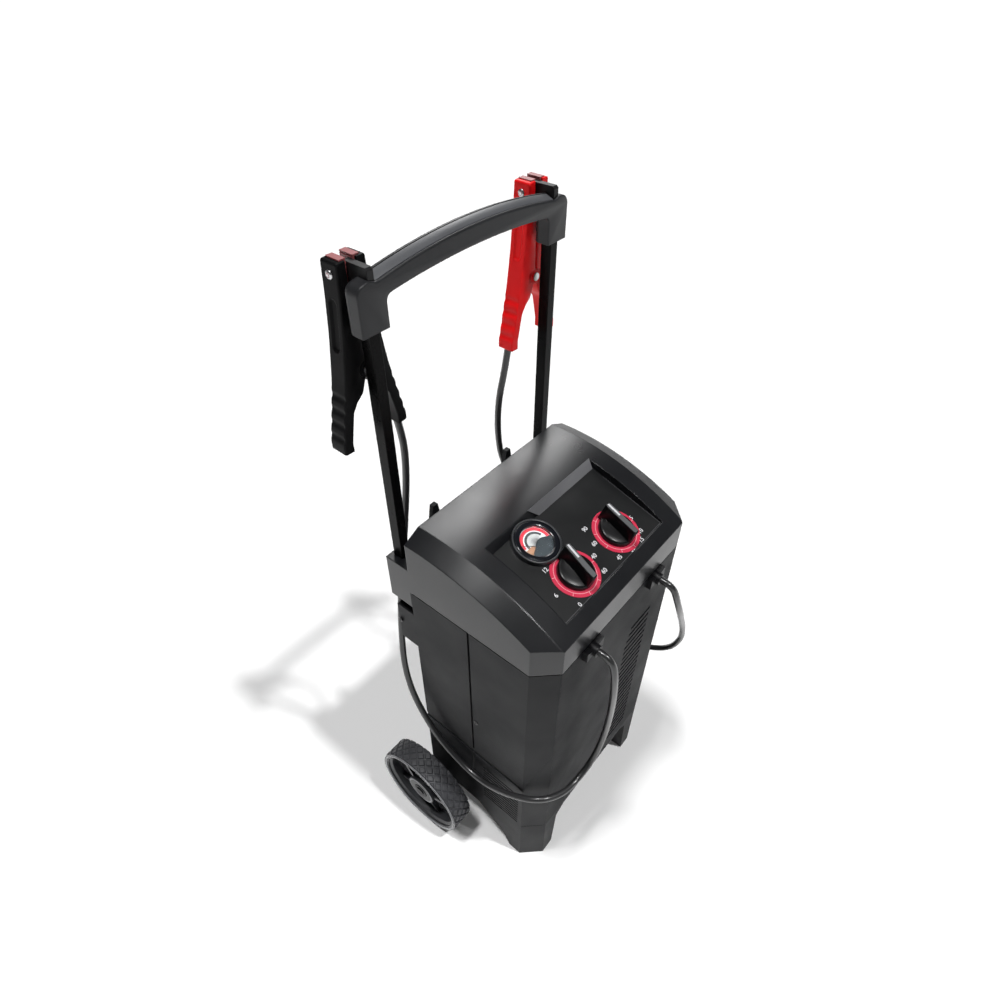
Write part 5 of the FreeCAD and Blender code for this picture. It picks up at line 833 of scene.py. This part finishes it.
def makeTyre(side, body, node):
    # r(t, x) = R less a rounded shoulder near each edge, less a groove wherever N t / 2 pi plus or minus
    # x / p is whole, N the count of cells and p their length across; the groove's bank is a smooth step
    spec = tyreSpec
    x = np.linspace(spec["x0"], spec["x1"], spec["columns"])
    t = np.linspace(0, 2 * math.pi, spec["steps"], endpoint=False)
    a, b = t[:, None] * spec["cells"] / (2 * math.pi), (x[None] - spec["x0"]) / spec["across"]
    pitch = 2 * math.pi * spec["r"] / spec["cells"]
    apart = 1 / math.hypot(1 / pitch, 1 / spec["across"])
    near = np.minimum(0.5 - np.abs((a + b) % 1 - 0.5), 0.5 - np.abs((a - b) % 1 - 0.5)) * apart
    k = np.clip((spec["groove"] + spec["bankOut"] - near) / spec["bank"], 0, 1)
    edge = np.minimum(x - spec["x0"], spec["x1"] - x)
    s = spec["shoulder"]
    drop = s - np.sqrt(np.maximum(s ** 2 - np.clip(s - edge, 0, s) ** 2, 0))
    r = spec["r"] - drop[None] - spec["deep"] * k * k * (3 - 2 * k)
    inner = np.full((len(t), 1), spec["inner"])
    r = np.concatenate([inner, r, inner], 1)
    xs = np.r_[spec["x0"], x, spec["x1"]]
    gridPiece(node + "_tread", [(onAxle(side * xs, r, t[:, None]), "loop")], body, "tyre_rubber", [node],
              crease=60.0)


# flat rings on rim and hub: radius, outer face's x, half width, height, steps round the wheel and look; the
# light grey rings on rim lip, hub and axle cap are painted highlights, the face ring is a dark ring on the
# hub's face
beadSpec = {"rim": (81.2, 226.0, 2.6, 1.3, 144, "bead_painted_highlight"), "hub": (25.3, 220.6, 0.9, 0.9, 84, "bead_painted_highlight"),
            "face": (16.4, 220.1, 7.9, 0.5, 84, "needle_dark"),
            "cap": (4.6, 222.6, 2.6, 1.6, 84, "bead_painted_highlight")}


def makeBeads(side, body, name):
    # each ring: an ellipse of half width and height carried round a circle about the axle
    a = np.linspace(0, 2 * math.pi, 14, endpoint=False)[None]
    for kind, (radius, x, half, high, steps, look) in beadSpec.items():
        t = np.linspace(0, 2 * math.pi, steps, endpoint=False)[:, None]
        grid = onAxle(side * (x - high + high * np.sin(a) + 0 * t), radius + half * np.cos(a), t)
        gridPiece("%s_%s_ring" % (name, kind), [(grid, "loop")], body, "wheel_plastic", look=look)


wheelSides = {"left": -1, "right": 1}
for name, side in wheelSides.items():
    makeBeads(side, "wheel_%s_spin" % name, "wheel_" + name)
for name, side in wheelSides.items():
    makeTyre(side, "wheel_%s_spin" % name, "tyre_" + name)
print("tyres made")

# clamps: each half is its outline carried across its width, with waves for the fingers and a shallow slot;
# x is from the pivot towards the half's own side, z from the pivot upwards
clampSpec = {"top": 119.0, "bottom": -91.0, "half": 12.0, "edge": 1.8, "innerEdge": 0.35, "endRound": 2.5,
             # corners of the outer edge from top to bottom, and how many half millimetres their easing spans
             "outer": ((18.0, 119.0), (20.0, 84.0), (24.0, 41.0), (31.0, -8.0), (47.0, -79.0), (47.0, -91.0)),
             "easing": 31,
             # the inner edge: jaw, gap below it, room for the spring, its leg, neck and the handle's depth
             "jaw": 6.8, "jawZ": 90.0, "jawStep": 5, "gap": 1.6, "gapZ": 45.0, "room": 10.35, "v": 21.5,
             "leg": 27.5, "neck": 18.0, "neckBow": 1.2, "handle": 13.0, "handleX": 47.0, "handleZ": -79.0,
             # finger waves, their fading towards the sides, and the slot with its bowl
             "waves": 4, "pitch": 16.0, "pitchShare": 0.975, "deep": 1.5, "sharp": 1.6,
             "fadeOut": 1.5, "fade": 4.0, "fadePower": 0.5,
             "slot": (27.0, 81.0), "slotHalf": 4.6, "slotDeep": 2.4, "slotOut": 1.25, "slotSteep": 2.2,
             "slotPower": 0.8}
# the knuckle round the pin: radius, width, the moving half's step inwards, its bevel, and its tail's corners
knuckleSpec = {"r": 10.0, "wide": 3.8, "step": 0.3, "bevel": 0.5,
               "tail": ((5.0, -9.0), (13.5, -5.0), (13.5, 7.0), (6.0, 9.6))}
rivetSpec = {"z": 106.0,
             "dome": ((0, 2.0), (1.6, 1.9), (3.2, 1.45), (4.4, 0.6), (4.8, 0.0), (4.8, -1.2), (0, -1.2))}


def clampOuter(spec, z):
    # the outer edge's corners eased by a running mean, and the sine wave where the fingers lie
    corners = np.array(spec["outer"])[::-1]
    fine = np.arange(-110.0, 140.0, 0.5)
    straight = np.interp(fine, corners[:, 1], corners[:, 0])
    eased = np.convolve(straight, np.ones(spec["easing"]) / spec["easing"], "same")
    x = np.interp(z, fine, eased)
    low = spec["handleZ"]
    high = low + spec["waves"] * spec["pitch"] * spec["pitchShare"]
    t = (z - low) / (high - low) * spec["waves"]
    wave = spec["deep"] * (0.5 - 0.5 * np.cos(2 * math.pi * t)) ** spec["sharp"]
    return x, np.where((z > low) & (z < high), wave, 0)


def clampInner(spec):
    # from the jaw's top down to the handle's end, with an arc of the spring's room about the pivot
    v, room = math.radians(spec["v"]), spec["room"]
    a = np.linspace(math.acos(spec["gap"] / room), -(math.pi / 2 - v), 26)
    ring = np.c_[room * np.cos(a), room * np.sin(a)]
    legX, legZ = spec["leg"] * math.sin(v), -spec["leg"] * math.cos(v)
    barZ = legZ - spec["neck"]
    barX = clampOuter(spec, np.array([barZ]))[0][0] - spec["handle"]
    bow, lastX = spec["neckBow"], spec["handleX"] - spec["handle"]
    jaw = [(spec["jaw"], spec["top"]), (spec["jaw"], spec["jawZ"]),
           (spec["gap"], spec["jawZ"] - spec["jawStep"]), (spec["gap"], spec["gapZ"])]
    leg = [((legX + ring[-1, 0]) / 2, (legZ + ring[-1, 1]) / 2), (legX, legZ)]
    bar = [((legX + barX) / 2 + bow, (legZ + barZ) / 2 + bow), (barX, barZ),
           (lastX, spec["handleZ"]), (lastX, spec["bottom"])]
    return np.r_[jaw, ring, leg, bar]


def clampHalf(spec, side, middle):
    # side is +1 for the half towards +x; points (x, y, z) about the pivot, then moved sideways to the clamp
    z = np.linspace(spec["bottom"], spec["top"], 260)
    x, wave = clampOuter(spec, z)
    # quarter circles at both ends of the outer edge
    r = spec["endRound"]
    over = np.maximum(np.maximum(z - (spec["top"] - r), spec["bottom"] + r - z), 0)
    x = x - (r - np.sqrt(np.maximum(r ** 2 - over ** 2, 0)))
    inner = clampInner(spec)
    line = np.r_[np.c_[x, z], inner]
    isOuter = np.r_[np.ones(len(z), bool), np.zeros(len(inner), bool)]
    inward = outlineNormals(line) * np.sign(outlineArea(line))
    # rows across the width, with rounded long edges
    w, e = spec["half"], spec["edge"]
    a = np.radians(np.linspace(0, 90, 6))
    across = np.linspace(-w + e, w - e, 26)[1:-1]
    y = np.r_[-w + e * (1 - np.cos(a)), across, w - e * (1 - np.cos(a[::-1]))]
    inset = np.r_[e * (1 - np.sin(a)), 0 * across, e * (1 - np.sin(a[::-1]))]
    inset = inset[:, None] * np.where(isOuter, 1.0, spec["innerEdge"])[None]
    # the waves fade towards both sides, the slot has round ends and a bowl-shaped floor
    fade = np.clip((w + spec["fadeOut"] - np.abs(y)) / spec["fade"], 0, 1) ** spec["fadePower"]
    zs = np.clip(line[:, 1], spec["slot"][0] + spec["slotHalf"], spec["slot"][1] - spec["slotHalf"])
    far = np.hypot(y[:, None], (line[:, 1] - zs)[None]) / spec["slotHalf"]
    slot = np.where(isOuter[None], np.clip(spec["slotOut"] - far, 0, 1), 0)
    slot = spec["slotDeep"] * np.clip(slot * spec["slotSteep"], 0, 1) ** spec["slotPower"]
    push = inset + slot + np.r_[wave, np.zeros(len(inner))][None] * fade[:, None]
    flat = line[None] + inward[None] * push[..., None]
    body = np.stack([side * flat[..., 0], np.broadcast_to(y[:, None], flat.shape[:2]), flat[..., 1]], -1)
    return body + (middle, 0, 0)


def knuckle(spec, side, middle, y0, y1):
    # a disc about the pin with a tail that goes into its own half
    r, e = spec["r"], spec["bevel"]
    a = np.radians(np.linspace(90, 270, 34))
    ring = np.r_[np.c_[r * np.cos(a), r * np.sin(a)], spec["tail"]]
    rows = [(y0, e), (y0 + e, 0.0), (y1 - e, 0.0), (y1, e)]
    return np.array([np.c_[side * ring[:, 0] * (1 - i / r) + middle, np.full(len(ring), y),
                           ring[:, 1] * (1 - i / r)]
                     for y, i in rows])


def makeClamp(colour, side, movingBody):
    # the half towards the charger's middle is fixed and holds the lead
    spec, pin = clampSpec, knuckleSpec
    middle = side * clampAt["x"]
    place = np.array((0, clampAt["y"] + frontY, clampAt["pivotZ"]))
    wide = pin["wide"]
    for kind, half, body in (("fixed", -side, "charger"), ("moving", side, movingBody)):
        far = spec["half"] - (0 if kind == "fixed" else wide + pin["step"])
        parts = [(clampHalf(spec, half, middle) + place, "caps")]
        for y0, y1 in ((far - wide, far), (-far, -far + wide)):
            parts.append((knuckle(pin, half, middle, y0, y1) + place, "caps"))
        node = "%s_clamp_%s" % (colour, kind)
        gridPiece(node + "_moulded", parts, body, "clamp_" + colour, [node], crease=34.0)
        # silver head of the rivet that holds the jaw plate
        dome, z = turned(rivetSpec["dome"], 36), rivetSpec["z"]
        x = clampOuter(spec, np.array([z]))[0][0]
        head = np.stack([middle + half * (x + dome[..., 2]), dome[..., 0], z + dome[..., 1]], -1) + place
        gridPiece(node + "_rivet", [(head, "")], body, "steel")


makeClamp("black", -1, "black_clamp_jaw")
makeClamp("red", 1, "red_clamp_jaw")
print("clamps made")
